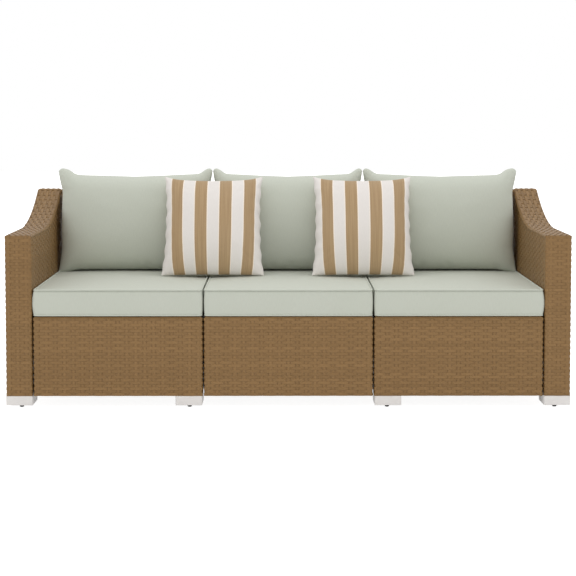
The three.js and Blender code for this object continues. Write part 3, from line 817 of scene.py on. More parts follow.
def boxed_uv(piece, centre):
    """Lays each panel flat: the top and bottom by x and y, the box strip by its run and its height."""
    layer = piece.data.uv_layers.new(name="cloth")
    for face in piece.data.polygons:
        lying = abs(face.normal.z) > 0.6
        sideways = abs(face.normal.x) > abs(face.normal.y)
        for loop in face.loop_indices:
            place = piece.data.vertices[piece.data.loops[loop].vertex_index].co - centre
            run = place.y if sideways and not lying else place.x
            layer.data[loop].uv = (run, place.y if lying else place.z)


def last_eighth(places):
    """0 for seven eighths of the way out to the side, and then rising to 1 at the side."""
    return np.clip(places / half_x * 8 - 7, 0, 1)


seat_rings = {}
for number, side in enumerate(("left", "middle", "right")):
    low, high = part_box(f"{side}_seat_cover")
    shape = seat_form.copy()
    beside_arm = {"left": -1, "middle": 0, "right": 1}[side]
    far_out = last_eighth(shape[:, 0] * beside_arm)
    at_side = last_eighth(np.abs(shape[:, 0])) * np.sign(shape[:, 0])
    level = np.clip(shape[:, 2] / SEAT_EDGE_TOP, 0, 1)
    bulge = 4 * level * (1 - level)
    shape[:, 0] += beside_arm * far_out * (ARM_SIDE_OUT + ARM_SIDE_BULGE * bulge)
    shape[:, 0] += (1 - far_out) * at_side * NEXT_SIDE_BULGE * bulge
    lid = shape[:, 2] > SEAT_EDGE_TOP + 0.002
    shape[lid, 2] += soft_wave(shape[lid], seed=71 + number, size=0.0012, reach=0.25)
    foot = ((low.x + high.x) / 2, (low.y + high.y) / 2, low.z)
    shape += np.array(foot)
    cushion = mesh_object(f"{side}_seat_cushion", shape, seat_faces, sage)
    boxed_uv(cushion, Vector(foot))
    subdivide(cushion)
    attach(cushion, "sofa")
    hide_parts(f"{side}_seat_cover", f"{side}_seat_foam")
    seat_rings[side] = [shape[top_ring], shape[bottom_ring]]
    print(cushion.name, len(cushion.data.polygons), "faces")

# %% [markdown]
# ## The resin strip
#
# The panels are woven from flat strips of brown resin. The level ones are ten millimetres wide,
# and the upright ones fourteen. Each has fine grooves along it from the die it was extruded
# through, a slightly different tone from its neighbour, and rubbed, paler edges. Where a strip
# dips under the next one it is painted darker, partly for dust and partly as painted shade, and
# the upright strips get a painted shade along both edges, where the level ones meet them. The
# strips carry their own attributes: a tint for each strip, the run along it, the place across it,
# its wave, and whether it stands upright. The finish is built on these, so the grooves follow
# every bend and the painted dust and shade lie in every crossing.

# %% Strip material
STRIP_STREAK_SCALES = (9.0, 2.5, 90.0)
GROOVES = 16.0


def carried(tree, name):
    """An attribute that the strips carry."""
    return node(tree, "ShaderNodeAttribute", {"attribute_name": name}).outputs["Fac"]


wicker = bpy.data.materials.new("resin_strip")
wicker.use_nodes = True
tree = wicker.node_tree
shader = tree.nodes["Principled BSDF"]
shader.inputs["Roughness"].default_value = 0.5
shader.inputs["Specular IOR Level"].default_value = 0.4
tint, run, across, wave = (carried(tree, name) for name in ("tint", "run", "across", "wave"))
streaks = drawn_noise(tree, (run, across, tint), STRIP_STREAK_SCALES, detail=4.0)
tone = math_node(
    tree, "ADD", math_node(tree, "MULTIPLY", tint, 0.45), math_node(tree, "MULTIPLY", streaks, 0.6)
)
body = mix_colour(tree, tone, screen(119, 89, 48), screen(146, 112, 68))
from_middle = math_node(tree, "ABSOLUTE", across)
rubbed = mix_colour(
    tree, ramp(tree, from_middle, 0.75, 1.0, high=0.35), body, screen(156, 123, 80)
)
# Painted shade: the upright strips are darker along both edges, where the level strips meet them.
painted_edge_shade = math_node(
    tree, "MULTIPLY", ramp(tree, from_middle, 0.32, 0.6, high=0.27), carried(tree, "upright")
)
shaded = mix_colour(tree, painted_edge_shade, rubbed, screen(92, 66, 35))
# Partly dust and partly painted shade: a strip is darker where it dips under the next one.
under = ramp(tree, wave, 0.35, -0.15, high=0.06)
tree.links.new(mix_colour(tree, under, shaded, screen(84, 59, 30)), shader.inputs["Base Color"])
grooves = math_node(tree, "SINE", math_node(tree, "MULTIPLY", across, GROOVES))
height = math_node(tree, "ADD", math_node(tree, "MULTIPLY", grooves, 0.4), streaks)
bump = node(tree, "ShaderNodeBump", Strength=0.35, Distance=0.0004, Height=height)
tree.links.new(bump.outputs[0], shader.inputs["Normal"])
print("finish:", wicker.name)

# %% [markdown]
# ## A strip along a path
#
# Every strip is the same thing: a flat band that follows a line and dips in and out as it passes
# over and under the strips that cross it. So one Geometry Nodes tree makes them all. It takes
# lines whose points say which way is out and where the wave stands, pushes the points along that
# direction, sweeps a thin six-sided band along each line, and gives it its finish. Drawing each
# strip by hand, or hiding a flat board behind a picture of a weave, would not stand a close look.

# %% Words for Geometry Nodes trees
def new_tree(name, inputs):
    """A tree that takes lines and named inputs, and the sockets that they come in by."""
    tree = bpy.data.node_groups.new(name, "GeometryNodeTree")
    tree.interface.new_socket("Lines", in_out="INPUT", socket_type="NodeSocketGeometry")
    for label, kind, value in inputs:
        socket = tree.interface.new_socket(label, in_out="INPUT", socket_type=f"NodeSocket{kind}")
        if value is not None:
            socket.default_value = value
    tree.interface.new_socket("Result", in_out="OUTPUT", socket_type="NodeSocketGeometry")
    return tree, tree.nodes.new("NodeGroupInput").outputs


def end_tree(tree, geometry, material):
    real = node(tree, "GeometryNodeRealizeInstances", Geometry=geometry).outputs[0]
    finished = node(tree, "GeometryNodeSetMaterial", Geometry=real, Material=material).outputs[0]
    tree.links.new(finished, tree.nodes.new("NodeGroupOutput").inputs[0])


def named(tree, name, kind="FLOAT"):
    made = node(tree, "GeometryNodeInputNamedAttribute", {"data_type": kind}, Name=name)
    return made.outputs[0]


def stored(tree, geometry, name, value, kind="FLOAT", domain="POINT"):
    made = node(
        tree, "GeometryNodeStoreNamedAttribute", {"data_type": kind, "domain": domain},
        Geometry=geometry, Name=name, Value=value,
    )
    return made.outputs[0]


print("words for trees ready")

# %% Geometry Nodes tree for strips
STRIP_WIDTH = 0.0101
STRIP_THICKNESS = 0.0013
WEFT_CRIMP = 0.0010
FLAT_SHARE = 0.86
SIDES = 6
# The six-sided ring is turned so that it is flat on top, cos(30) of its radius from its middle.
# This share of the thickness is the radius that makes it half a thickness high there.
RADIUS_SHARE = 0.577

strip_tree, given = new_tree("woven strips", (
    ("Width", "Float", STRIP_WIDTH), ("Thickness", "Float", STRIP_THICKNESS),
    ("Crimp", "Float", WEFT_CRIMP), ("Flat share", "Float", FLAT_SHARE),
    ("Upright", "Float", 0.0), ("Finish", "Material", None),
))
push = math_node(strip_tree, "MULTIPLY", named(strip_tree, "wave"), given["Crimp"])
outwards = named(strip_tree, "outward", "FLOAT_VECTOR")
offset = node(
    strip_tree, "ShaderNodeVectorMath", {"operation": "SCALE"}, _0=outwards, Scale=push
).outputs[0]
waved = node(strip_tree, "GeometryNodeSetPosition", Geometry=given["Lines"], Offset=offset)
curve = node(strip_tree, "GeometryNodeMeshToCurve", Mesh=waved.outputs[0]).outputs[0]
curve = node(
    strip_tree, "GeometryNodeSetCurveNormal", {"mode": "FREE"}, Curve=curve,
    Normal=named(strip_tree, "outward", "FLOAT_VECTOR"),
).outputs[0]
ring = node(
    strip_tree, "GeometryNodeCurvePrimitiveCircle", Resolution=SIDES, Radius=1.0
).outputs[0]
turned = node(
    strip_tree, "GeometryNodeTransform", Geometry=ring, Rotation=(0, 0, math.pi / SIDES)
).outputs[0]
ring_place = node(strip_tree, "GeometryNodeInputPosition").outputs[0]
ring_parts = node(strip_tree, "ShaderNodeSeparateXYZ", Vector=ring_place).outputs
ring_side = math_node(strip_tree, "SIGN", ring_parts["Y"])
ring_reach = math_node(
    strip_tree, "MAXIMUM", math_node(strip_tree, "ABSOLUTE", ring_parts["Y"]), given["Flat share"]
)
flat_place = node(
    strip_tree, "ShaderNodeCombineXYZ", X=ring_parts["X"],
    Y=math_node(strip_tree, "MULTIPLY", ring_side, ring_reach),
).outputs[0]
flattened = node(
    strip_tree, "GeometryNodeSetPosition", Geometry=turned, Position=flat_place
).outputs[0]
marked = stored(strip_tree, flattened, "across", ring_parts["Y"])
band_size = node(
    strip_tree, "ShaderNodeCombineXYZ",
    X=math_node(strip_tree, "MULTIPLY", given["Thickness"], RADIUS_SHARE),
    Y=math_node(strip_tree, "MULTIPLY", given["Width"], 0.5), Z=1.0,
).outputs[0]
band = node(strip_tree, "GeometryNodeTransform", Geometry=marked, Scale=band_size).outputs[0]
strips = node(
    strip_tree, "GeometryNodeCurveToMesh", Curve=curve, Profile_Curve=band,
    Scale=named(strip_tree, "narrowing"), Fill_Caps=True,
).outputs[0]
reach = math_node(strip_tree, "ABSOLUTE", named(strip_tree, "across"))
at_bevel = math_node(
    strip_tree, "MULTIPLY", math_node(strip_tree, "GREATER_THAN", reach, 0.5),
    math_node(strip_tree, "LESS_THAN", reach, 0.9),
)
creased = stored(strip_tree, strips, "sharp_edge", at_bevel, "BOOLEAN", "EDGE")
told = stored(strip_tree, creased, "upright", given["Upright"])
end_tree(strip_tree, told, given["Finish"])
print("tree:", strip_tree.name, len(strip_tree.nodes), "nodes")

# %% [markdown]
# ## Lines for the strips
#
# A small collector gathers the lines of one piece, with what each point needs to know. It then
# hands them to the tree, turns the result into a plain mesh that rides with the sofa, and lets
# it stand for the CAD panel that it covers.

# %% From lines to a piece
STAKE_WIDTH = 0.0144
STAKE_CRIMP = 0.00075


def identifier(tree, label):
    return next(s.identifier for s in tree.interface.items_tree if s.name == label)


def run_tree(name, tree, lines, values):
    """Evaluates a tree on an object of lines and keeps the result as a plain mesh."""
    holder = bpy.data.objects.new(name + "_lines", lines)
    scene.collection.objects.link(holder)
    modifier = holder.modifiers.new("nodes", "NODES")
    modifier.node_group = tree
    for label, value in values.items():
        modifier[identifier(tree, label)] = value
    evaluated = holder.evaluated_get(bpy.context.evaluated_depsgraph_get())
    mesh = bpy.data.meshes.new_from_object(evaluated)
    holder.modifiers.remove(modifier)
    bpy.data.objects.remove(holder)
    bpy.data.meshes.remove(lines)
    mesh.name = name
    made = bpy.data.objects.new(name, mesh)
    scene.collection.objects.link(made)
    return made


class Lines:
    """The strips of one piece."""

    def __init__(self, seed):
        self.points, self.outward, self.values, self.edges = [], [], [], []
        self.chance = random.Random(seed)

    def add(self, points, outward, wave, width=1.0, closed=False):
        """One strip: its centre line, the way out, its wave from -1 to 1, and its relative width."""
        first, count = len(self.points), len(points)
        tint, run = self.chance.random(), 0.0
        for index in range(count):
            if index:
                run += math.dist(points[index - 1], points[index])
            self.points.append(tuple(points[index]))
            self.outward.append(tuple(outward[index]))
            self.values.append((wave[index], run, tint, width))
        self.edges += [(first + i, first + i + 1) for i in range(count - 1)]
        if closed:
            self.edges.append((first + count - 1, first))

    def weave(self, name, width, crimp, panel):
        """Makes the piece, which rides with the sofa and stands for a CAD panel."""
        mesh = bpy.data.meshes.new(name + "_lines")
        mesh.from_pydata(self.points, self.edges, [])
        outward = mesh.attributes.new("outward", "FLOAT_VECTOR", "POINT")
        outward.data.foreach_set("vector", np.array(self.outward, dtype=np.float32).ravel())
        values = np.array(self.values, dtype=np.float32)
        for column, label in enumerate(("wave", "run", "tint", "narrowing")):
            layer = mesh.attributes.new(label, "FLOAT", "POINT")
            layer.data.foreach_set("value", np.ascontiguousarray(values[:, column]))
        piece = run_tree(name, strip_tree, mesh, {
            "Width": width, "Thickness": STRIP_THICKNESS, "Crimp": crimp,
            "Upright": 1.0 if width == STAKE_WIDTH else 0.0, "Finish": wicker,
        })
        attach(piece, "sofa")
        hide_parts(panel)
        triangles = sum(len(face.vertices) - 2 for face in piece.data.polygons)
        print(name, len(self.points), "points", triangles, "triangles")


print("strips are", STRIP_WIDTH, "m wide, and", STAKE_WIDTH, "m where they stand upright")

# %% [markdown]
# ## Piping on the seat cushions
#
# A cord wrapped in the same cloth is sewn into both seams of a seat cushion. It is the bright
# line along the front edge, with a thin shadow where the strip tucks in beside it. Piping follows
# a path and keeps one section, so it is a job for Geometry Nodes: a ring is swept along the seam
# that the filled cover left behind, and the sweep writes its own UV map for the weave.

# %% Geometry Nodes tree for piping
PIPING_RADIUS = 0.0027

piping_tree, given = new_tree("piping", (
    ("Radius", "Float", PIPING_RADIUS), ("Finish", "Material", None),
))
seam_line = node(piping_tree, "GeometryNodeMeshToCurve", Mesh=given["Lines"]).outputs[0]
cord_ring = node(
    piping_tree, "GeometryNodeCurvePrimitiveCircle", Resolution=8, Radius=given["Radius"]
).outputs[0]
turn = node(piping_tree, "GeometryNodeSplineParameter").outputs["Factor"]
cord_ring = stored(piping_tree, cord_ring, "around", turn)
cord = node(
    piping_tree, "GeometryNodeCurveToMesh", Curve=seam_line, Profile_Curve=cord_ring
).outputs[0]
girth = math_node(
    piping_tree, "MULTIPLY", named(piping_tree, "around"),
    math_node(piping_tree, "MULTIPLY", given["Radius"], math.tau),
)
flat_cloth = node(
    piping_tree, "ShaderNodeCombineXYZ", X=named(piping_tree, "run"), Y=girth
).outputs[0]
cord = stored(piping_tree, cord, "cloth", flat_cloth, "FLOAT2", "CORNER")
end_tree(piping_tree, cord, given["Finish"])
print("tree:", piping_tree.name, len(piping_tree.nodes), "nodes")

# %% Piping
PIPING_OUT = 0.0018
PIPING_BACK = 0.0028
PIPING_CLEAR = 0.0001

for side, rings in seat_rings.items():
    seam_points, seam_edges, runs = [], [], []
    for ring, lift in zip(rings, (0.0, PIPING_RADIUS + PIPING_CLEAR)):
        ahead = np.roll(ring, -1, axis=0) - np.roll(ring, 1, axis=0)
        out = np.stack([ahead[:, 1], -ahead[:, 0], np.zeros(len(ring))], axis=-1)
        out /= np.linalg.norm(out, axis=1, keepdims=True)
        set_back = np.abs(out[:, :1]) * PIPING_BACK
        placed = ring + out * (PIPING_OUT - set_back) + (0, 0, lift)
        first, count = len(seam_points), len(ring)
        seam_edges += [(first + i, first + (i + 1) % count) for i in range(count)]
        seam_points += [tuple(p) for p in placed]
        steps = np.linalg.norm(np.diff(placed, axis=0), axis=1)
        runs += [0.0, *np.cumsum(steps)]
    mesh = bpy.data.meshes.new(f"{side}_seams")
    mesh.from_pydata(seam_points, seam_edges, [])
    layer = mesh.attributes.new("run", "FLOAT", "POINT")
    layer.data.foreach_set("value", np.array(runs, dtype=np.float32))
    piping = run_tree(f"{side}_seat_piping", piping_tree, mesh, {
        "Radius": PIPING_RADIUS, "Finish": sage,
    })
    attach(piping, "sofa")
    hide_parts(f"{side}_seat_cover")
    print(piping.name, len(piping.data.polygons), "faces", [a.name for a in piping.data.uv_layers])

# %% [markdown]
# ## Weaving an arm
#
# An arm is a hollow panel whose top runs level and then sweeps up to the back in one bend. The
# level strips, the weft, go all round it in rows. The upright strips, the stakes, pass over one
# row and under the next, cross the top and turn in under the bottom. Along the top, strips run
# from front to back and follow the sweep. They are worked by hand over the bend, so the weave is
# looser there and its strips rise more. The bend is one function of the depth, and everything on
# the arm reads it.

# %% Shape of the arm
ARM_FLAT = 0.305
ARM_RISE = 0.530
ARM_SWEEP = 0.830
REAR_IN = 0.009

arm_low, arm_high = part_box("left_arm_weave")
FRONT, REAR = arm_low.y, arm_high.y
PANEL_BOTTOM = arm_low.z
ARM_TOP = PANEL_BOTTOM + ARM_RISE


def arm_top(y, inset=0.0):
    """Height of the arm's top at a depth, then the two parts of the way out of it."""
    past = max(0.0, y - FRONT - ARM_FLAT)
    radius = ARM_SWEEP + inset
    return (
        ARM_TOP + ARM_SWEEP - math.sqrt(radius**2 - past**2),
        -past / radius, math.sqrt(1 - (past / radius) ** 2),
    )


def sweep_reaches(z):
    """The depth at which the sweep has risen to a height."""
    rise = max(0.0, z - ARM_TOP)
    return FRONT + ARM_FLAT + math.sqrt(ARM_SWEEP**2 - (ARM_SWEEP - rise) ** 2)


ARM_REAR_TOP = arm_top(REAR - REAR_IN)[0]
print("arm top at the back", round(ARM_REAR_TOP, 4))

# %% Places of the strips on an arm
WEFT_PITCH = 0.0096
STAKE_PITCH = 0.0292
STRIP_INSET = 0.0016
STEP = 0.0100
ARM_ROWS = 67
ARM_FULL_ROWS = 55
SIDE_STAKES = 25
FRONT_STAKES = (0.0125, 0.0410, 0.0695)
END_STAKES = len(FRONT_STAKES)
TOP_STRIPS = 8
TOP_STRIPS_IN = 0.0102

left_x, right_x = arm_low.x + STRIP_INSET, arm_high.x - STRIP_INSET
front_y, rear_y = FRONT + STRIP_INSET, REAR - STRIP_INSET
arm_width, arm_depth = right_x - left_x, rear_y - front_y
arm_rows = [PANEL_BOTTOM + WEFT_PITCH * (row + 0.5) for row in range(ARM_ROWS)]
stake_ys = np.linspace(FRONT + STAKE_PITCH / 2, REAR - STAKE_PITCH / 2, SIDE_STAKES)
front_xs = [arm_low.x + place for place in FRONT_STAKES]
top_xs = np.linspace(arm_low.x + TOP_STRIPS_IN, arm_high.x - TOP_STRIPS_IN, TOP_STRIPS)
print("an arm has", ARM_ROWS, "rows and", 2 * (SIDE_STAKES + END_STAKES), "stakes round it")

# %% [markdown]
# ## Level rows
#
# A level row is a walk round a plan of corners, with small rounded turns. It passes over one
# stake and under the next, so it only needs a list of where the crossings lie along its walk:
# each mark is half a wave from the one before. On an arm, the rows above the level part of the top
# begin and end at the sweep, and so go round the back only.

# %% Walks and waves
TURN_RADIUS = 0.0045


def path_round(corners, closed=False):
    """Walks a plan of corners with rounded turns. Gives place, outward side and sharp-corner run.

    The outside of the walk is on its right-hand side."""
    corners = [np.array(c, dtype=float) for c in corners]
    count = len(corners)
    legs = count if closed else count - 1
    walk, run = [], 0.0
    for leg in range(legs):
        a, b = corners[leg], corners[(leg + 1) % count]
        length = float(np.linalg.norm(b - a))
        along = (b - a) / length
        right = np.array([along[1], -along[0]])
        trim_start = TURN_RADIUS if closed or leg > 0 else 0.0
        trim_end = TURN_RADIUS if closed or leg < legs - 1 else 0.0
        parts = max(1, round((length - trim_start - trim_end) / STEP))
        for part in range(parts + 1):
            at = trim_start + (length - trim_start - trim_end) * part / parts
            walk.append((a + along * at, right, run + at))
        if trim_end:
            following = corners[(leg + 2) % count]
            turn = (following - b) / np.linalg.norm(following - b)
            next_right = np.array([turn[1], -turn[0]])
            centre = b - along * TURN_RADIUS + turn * TURN_RADIUS
            middle = (right + next_right) / np.linalg.norm(right + next_right)
            side = 1 if float(np.dot(b - centre, middle)) > 0 else -1
            walk.append((centre + side * middle * TURN_RADIUS, middle, run + length))
        run += length
    return walk


def loop_marks(legs):
    """Runs of the crossings round a closed loop, corners among them, and one beyond each end."""
    marks, run = [], 0.0
    for length, places in legs:
        marks += [run] + [run + place for place in places]
        run += length
    return [marks[-1] - run] + marks + [marks[0] + run]


def add_level_row(lines, corners, z, row, marks, start=0.0, closed=False, sign=1):
    """One weft row at a height, along a plan of corners."""
    walk = path_round(corners, closed)
    points = [(sign * p[0], p[1], z) for p, _, _ in walk]
    outward = [(sign * n[0], n[1], 0.0) for _, n, _ in walk]
    places = np.interp([start + run for _, _, run in walk], marks, range(len(marks)))
    lines.add(points, outward, np.cos(math.pi * (places - 1 + row)), closed=closed)


print("turns have a radius of", TURN_RADIUS * 1000, "mm")

# %% Weft of an arm
CUT_MARGIN = 0.006

arm_marks = loop_marks((
    (arm_width, [x - left_x for x in front_xs]),
    (arm_depth, [y - front_y for y in stake_ys]),
    (arm_width, [right_x - x for x in reversed(front_xs)]),
    (arm_depth, [rear_y - y for y in reversed(stake_ys)]),
))
ARM_MARKS = len(arm_marks) - 2


def arm_weft(lines, sign):
    for row, z in enumerate(arm_rows):
        if row < ARM_FULL_ROWS:
            corners = [(left_x, front_y), (right_x, front_y), (right_x, rear_y), (left_x, rear_y)]
            add_level_row(lines, corners, z, row, arm_marks, closed=True, sign=sign)
        else:
            begin = sweep_reaches(z + CUT_MARGIN)
            corners = [(right_x, begin), (right_x, rear_y), (left_x, rear_y), (left_x, begin)]
            start = arm_width + begin - front_y
            add_level_row(lines, corners, z, row, arm_marks, start, sign=sign)


print("a row meets", ARM_MARKS, "stakes and corners round an arm")

# %% [markdown]
# ## Stakes
#
# A stake is one long strip. It starts under the bottom, turns a rounded edge, climbs a side, and
# bends over the top. It gets one point at each row that it meets and one between each two rows,
# and the wave from point to point takes it over one row and under the next.

# %% Points of a stake
EDGE_ROUND = 0.0013
SLANT = math.sqrt(0.5)
UNDER_TOP_EDGE = -1.0
OVER_BOTTOM_EDGE = 0.3


class Path:
    """The points of one strip, put down one after the other; sign -1 mirrors them from side to side."""

    def __init__(self, sign=1):
        self.points, self.outward, self.wave = [], [], []
        self.sign = sign

    def put(self, point, way, wave):
        self.points.append((self.sign * point[0], point[1], point[2]))
        self.outward.append((self.sign * way[0], way[1], way[2]))
        self.wave.append(wave)

    def turn_edge(self, x, y, z, out, up):
        """The rounded edge between an upright face and the top, where up is 1, or the bottom."""
        wave = UNDER_TOP_EDGE if up > 0 else OVER_BOTTOM_EDGE
        self.put((x, y - out * EDGE_ROUND, z - up * EDGE_ROUND), (0, out * SLANT, up * SLANT), wave)

    def add_to(self, lines):
        lines.add(self.points, self.outward, self.wave)


def leg_samples(heights):
    """Each row's height and the middles between rows, with the row number or None."""
    samples = []
    for row, z in enumerate(heights):
        samples.append((z, row))
        if row + 1 < len(heights):
            samples.append(((z + heights[row + 1]) / 2, None))
    return samples


def over_under(mark, crossing):
    return 0.0 if crossing is None else -math.cos(math.pi * (mark + crossing))


print("over and under:", [over_under(1, row) for row in range(4)])

# %% Stakes of an arm
TUCK = 0.022
TUCK_BEGINS = 0.012
ROWS_END = 0.0075
TOP_RISE = 1.25
END_STAKE_BEHIND = (0.002, 0.004)
REAR_STAKES_LOWER = 0.004


def arm_side_stake(lines, index, y, sign):
    """Up the inner side, across the top and down the outer side, tucked in under the bottom."""
    top, slope_y, slope_z = arm_top(y, STRIP_INSET)
    limit = arm_top(y)[0] - ROWS_END
    rows = leg_samples([z for z in arm_rows if z < limit])
    low = PANEL_BOTTOM + STRIP_INSET
    path = Path(sign)
    for x in (right_x - TUCK, right_x - TUCK_BEGINS):
        path.put((x, y, low), (0, 0, -1), 0.0)
    path.put((right_x - EDGE_ROUND, y, low + EDGE_ROUND), (SLANT, 0, -SLANT), OVER_BOTTOM_EDGE)
    for z, row in rows:
        path.put((right_x, y, z), (1, 0, 0), over_under(END_STAKES + 2 + index, row))
    way = Vector((1, slope_y, slope_z)).normalized()
    path.put((right_x - EDGE_ROUND, y, top - EDGE_ROUND), way, UNDER_TOP_EDGE)
    for place in reversed(range(2 * TOP_STRIPS - 1)):
        strip, between = divmod(place, 2)
        at = (top_xs[strip] + top_xs[strip + between]) / 2
        value = TOP_RISE * over_under(index, None if between else strip)
        path.put((at, y, top), (0, slope_y, slope_z), value)
    way = Vector((-1, slope_y, slope_z)).normalized()
    path.put((left_x + EDGE_ROUND, y, top - EDGE_ROUND), way, UNDER_TOP_EDGE)
    for z, row in reversed(rows):
        path.put((left_x, y, z), (-1, 0, 0), over_under(ARM_MARKS - 1 - index, row))
    path.put((left_x + EDGE_ROUND, y, low + EDGE_ROUND), (-SLANT, 0, -SLANT), OVER_BOTTOM_EDGE)
    for x in (left_x + TUCK_BEGINS, left_x + TUCK):
        path.put((x, y, low), (0, 0, -1), 0.0)
    path.add_to(lines)


def arm_end_stake(lines, mark, x, y, out, rows, top, sign):
    """Up the front or the back of the arm, with both ends tucked in."""
    low = PANEL_BOTTOM + STRIP_INSET
    path = Path(sign)
    for reach in (TUCK, TUCK_BEGINS):
        path.put((x, y - out * reach, low), (0, 0, -1), 0.0)
    path.turn_edge(x, y, low, out, -1)
    for z, row in leg_samples(rows):
        path.put((x, y, z), (0, out, 0), over_under(mark, row))
    behind, down = END_STAKE_BEHIND
    path.put((x, y - out * behind, top - down), (0, out, 0), UNDER_TOP_EDGE)
    path.add_to(lines)


print("stakes of an arm ready")

# %% [markdown]
# ## Strips along the top of an arm
#
# The strips on top follow the sweep, and their ends turn down behind the front and the rear. Rows
# that meet the sweep are cut short. A weaver hides such ends, and so does this arm: a wider lining
# strip runs behind them, and a narrower border strip runs along the edge itself.

# %% Top strips of an arm
TOP_BEGINS, TOP_ENDS = 0.0093, 0.0095
# For each point: how far in from the end, how far below the top, and the way out.
FRONT_END = (
    (0.0045, 0.014, (0, -1, 0)), (0.0036, 0.0062, (0, -1, 0)), (0.0046, 0.0026, (0, -0.6, 0.8)),
)
REAR_END = (
    (0.0045, 0.0030, (0, 0.5, 0.866)), (0.0022, 0.0075, (0, 0.95, 0.3)),
    (0.0038, 0.014, (0, 1, 0)), (0.0045, 0.022, (0, 1, 0)),
)


def arm_length_strip(lines, x, number, sign):
    """A strip along the top that tucks in behind the front and the back."""
    path = Path(sign)
    for inwards, down, way in FRONT_END:
        path.put((x, FRONT + inwards, ARM_TOP - down), way, 0.0)
    for y in np.arange(FRONT + TOP_BEGINS, REAR - TOP_ENDS, STEP):
        z, slope_y, slope_z = arm_top(y, STRIP_INSET)
        mark = float(np.interp(y, stake_ys, range(SIDE_STAKES)))
        value = TOP_RISE * math.cos(math.pi * (mark + number))
        path.put((x, y, z), (0, slope_y, slope_z), value)
    for inwards, down, way in REAR_END:
        path.put((x, REAR - inwards, ARM_REAR_TOP - down), way, 0.0)
    path.add_to(lines)


print("top strips ready")

# %% Linings and borders of an arm
BORDER_WIDTH = 0.85
BORDER_IN = 0.0010
BORDER_DOWN = 0.0026
LINING_WIDTH = 1.2
LINING_IN = 0.0024
LINING_DOWN = 0.0065
BORDERS_END = 0.011
UNDER_STRIPS = (0.0085, 0.0180)
UNDER_PHASE = 330


def arm_borders(lines, sign):
    """The lining, the border and two strips under the bottom, for both sides of the arm."""
    depths = np.arange(FRONT + BORDERS_END, REAR - BORDERS_END, STEP)
    count = len(depths)
    for edge, side in ((left_x, -1), (right_x, 1)):
        lining, border, border_way = [], [], []
        for y in depths:
            lining.append((sign * (edge - side * LINING_IN), y, arm_top(y, LINING_DOWN)[0]))
            z, slope_y, slope_z = arm_top(y, BORDER_DOWN)
            border.append((sign * (edge - side * BORDER_IN), y, z))
            way = Vector((side, slope_y, slope_z)).normalized()
            border_way.append((sign * way.x, way.y, way.z))
        lines.add(lining, [(sign * side, 0, 0)] * count, [0.0] * count, LINING_WIDTH)
        lines.add(border, border_way, [0.0] * count, BORDER_WIDTH)
        for gap in UNDER_STRIPS:
            under = [(sign * (edge - side * gap), y, PANEL_BOTTOM + STRIP_INSET) for y in depths]
            marks = np.interp(depths, stake_ys, range(SIDE_STAKES))
            wave = np.cos(math.pi * marks + gap * UNDER_PHASE)
            lines.add(under, [(0, 0, -1)] * count, wave)


print("borders ready")

# %% Both arms
for arm, (side, sign) in enumerate((("left", 1), ("right", -1))):
    weft = Lines(seed=101 + arm)
    arm_weft(weft, sign)
    weft.weave(f"{side}_arm_weft", STRIP_WIDTH, WEFT_CRIMP, f"{side}_arm_weave")
    stakes = Lines(seed=103 + arm)
    for index, y in enumerate(stake_ys):
        arm_side_stake(stakes, index, float(y), sign)
    for number, x in enumerate(front_xs):
        front_mark, rear_mark = 1 + number, SIDE_STAKES + 2 * END_STAKES + 2 - number
        arm_end_stake(stakes, front_mark, x, front_y, -1, arm_rows[:ARM_FULL_ROWS], ARM_TOP, sign)
        arm_end_stake(stakes, rear_mark, x, rear_y, 1, arm_rows, ARM_REAR_TOP - REAR_STAKES_LOWER, sign)
    stakes.weave(f"{side}_arm_stakes", STAKE_WIDTH, STAKE_CRIMP, f"{side}_arm_weave")
    lengths = Lines(seed=105 + arm)
    for number, x in enumerate(top_xs):
        arm_length_strip(lengths, float(x), number, sign)
    arm_borders(lengths, sign)
    lengths.weave(f"{side}_arm_top_strips", STRIP_WIDTH, WEFT_CRIMP, f"{side}_arm_weave")

# %% [markdown]
# ## Weaving the fronts of the seats
#
# Under each seat cushion hangs a woven apron. Its rows turn round both end posts, and its stakes
# roll over the top rail and under the bottom rail, where a border strip catches the light. Each
# panel is fitted with a whole number of rows, as a weaver would pack them down.

# %% Strips on level edges
ROWS_TOP_GAP = 0.0034
EDGE_STRIP_IN = 0.0087
EDGE_STRIP_PITCH = 0.0095
EDGE_ENDS = 0.003


def row_heights(low, high, count):
    return [low + (high - low) * (row + 0.5) / count for row in range(count)]


def places_along(x0, x1):
    """Places along a level edge, a step apart and a little in from both ends."""
    return np.linspace(x0 + EDGE_ENDS, x1 - EDGE_ENDS, round((x1 - x0) / STEP))


def add_border(lines, places, near, out, high):
    """The border on the edge between an upright face and the top."""
    count = len(places)
    points = [(x, near - out * BORDER_IN, high - BORDER_IN) for x in places]
    lines.add(points, [(0, out * SLANT, SLANT)] * count, [0.0] * count, BORDER_WIDTH)


def add_top_strip(lines, places, y, high, stake_xs, number, width=1.0):
    """A level strip on top of a panel, over one stake and under the next."""
    marks = np.interp(places, stake_xs, range(len(stake_xs)))
    wave = np.cos(math.pi * (marks + number))
    lines.add([(x, y, high) for x in places], [(0, 0, 1)] * len(places), wave, width)


def add_end_stake(lines, x, y, out, mark, legs):
    """A stake on the side face of a panel."""
    wave = [over_under(mark, row) for _, row in legs]
    lines.add([(x, y, z) for z, _ in legs], [(out, 0, 0)] * len(legs), wave)


print("strips beside an edge lie", EDGE_STRIP_PITCH * 1000, "mm apart")

# %% Three aprons
APRON_ROWS = 27
APRON_STAKES = 19
APRON_TOP_STRIPS = 3
APRON_TUCK = (0.011, 0.036)
SIDE_STAKE_IN = 0.015


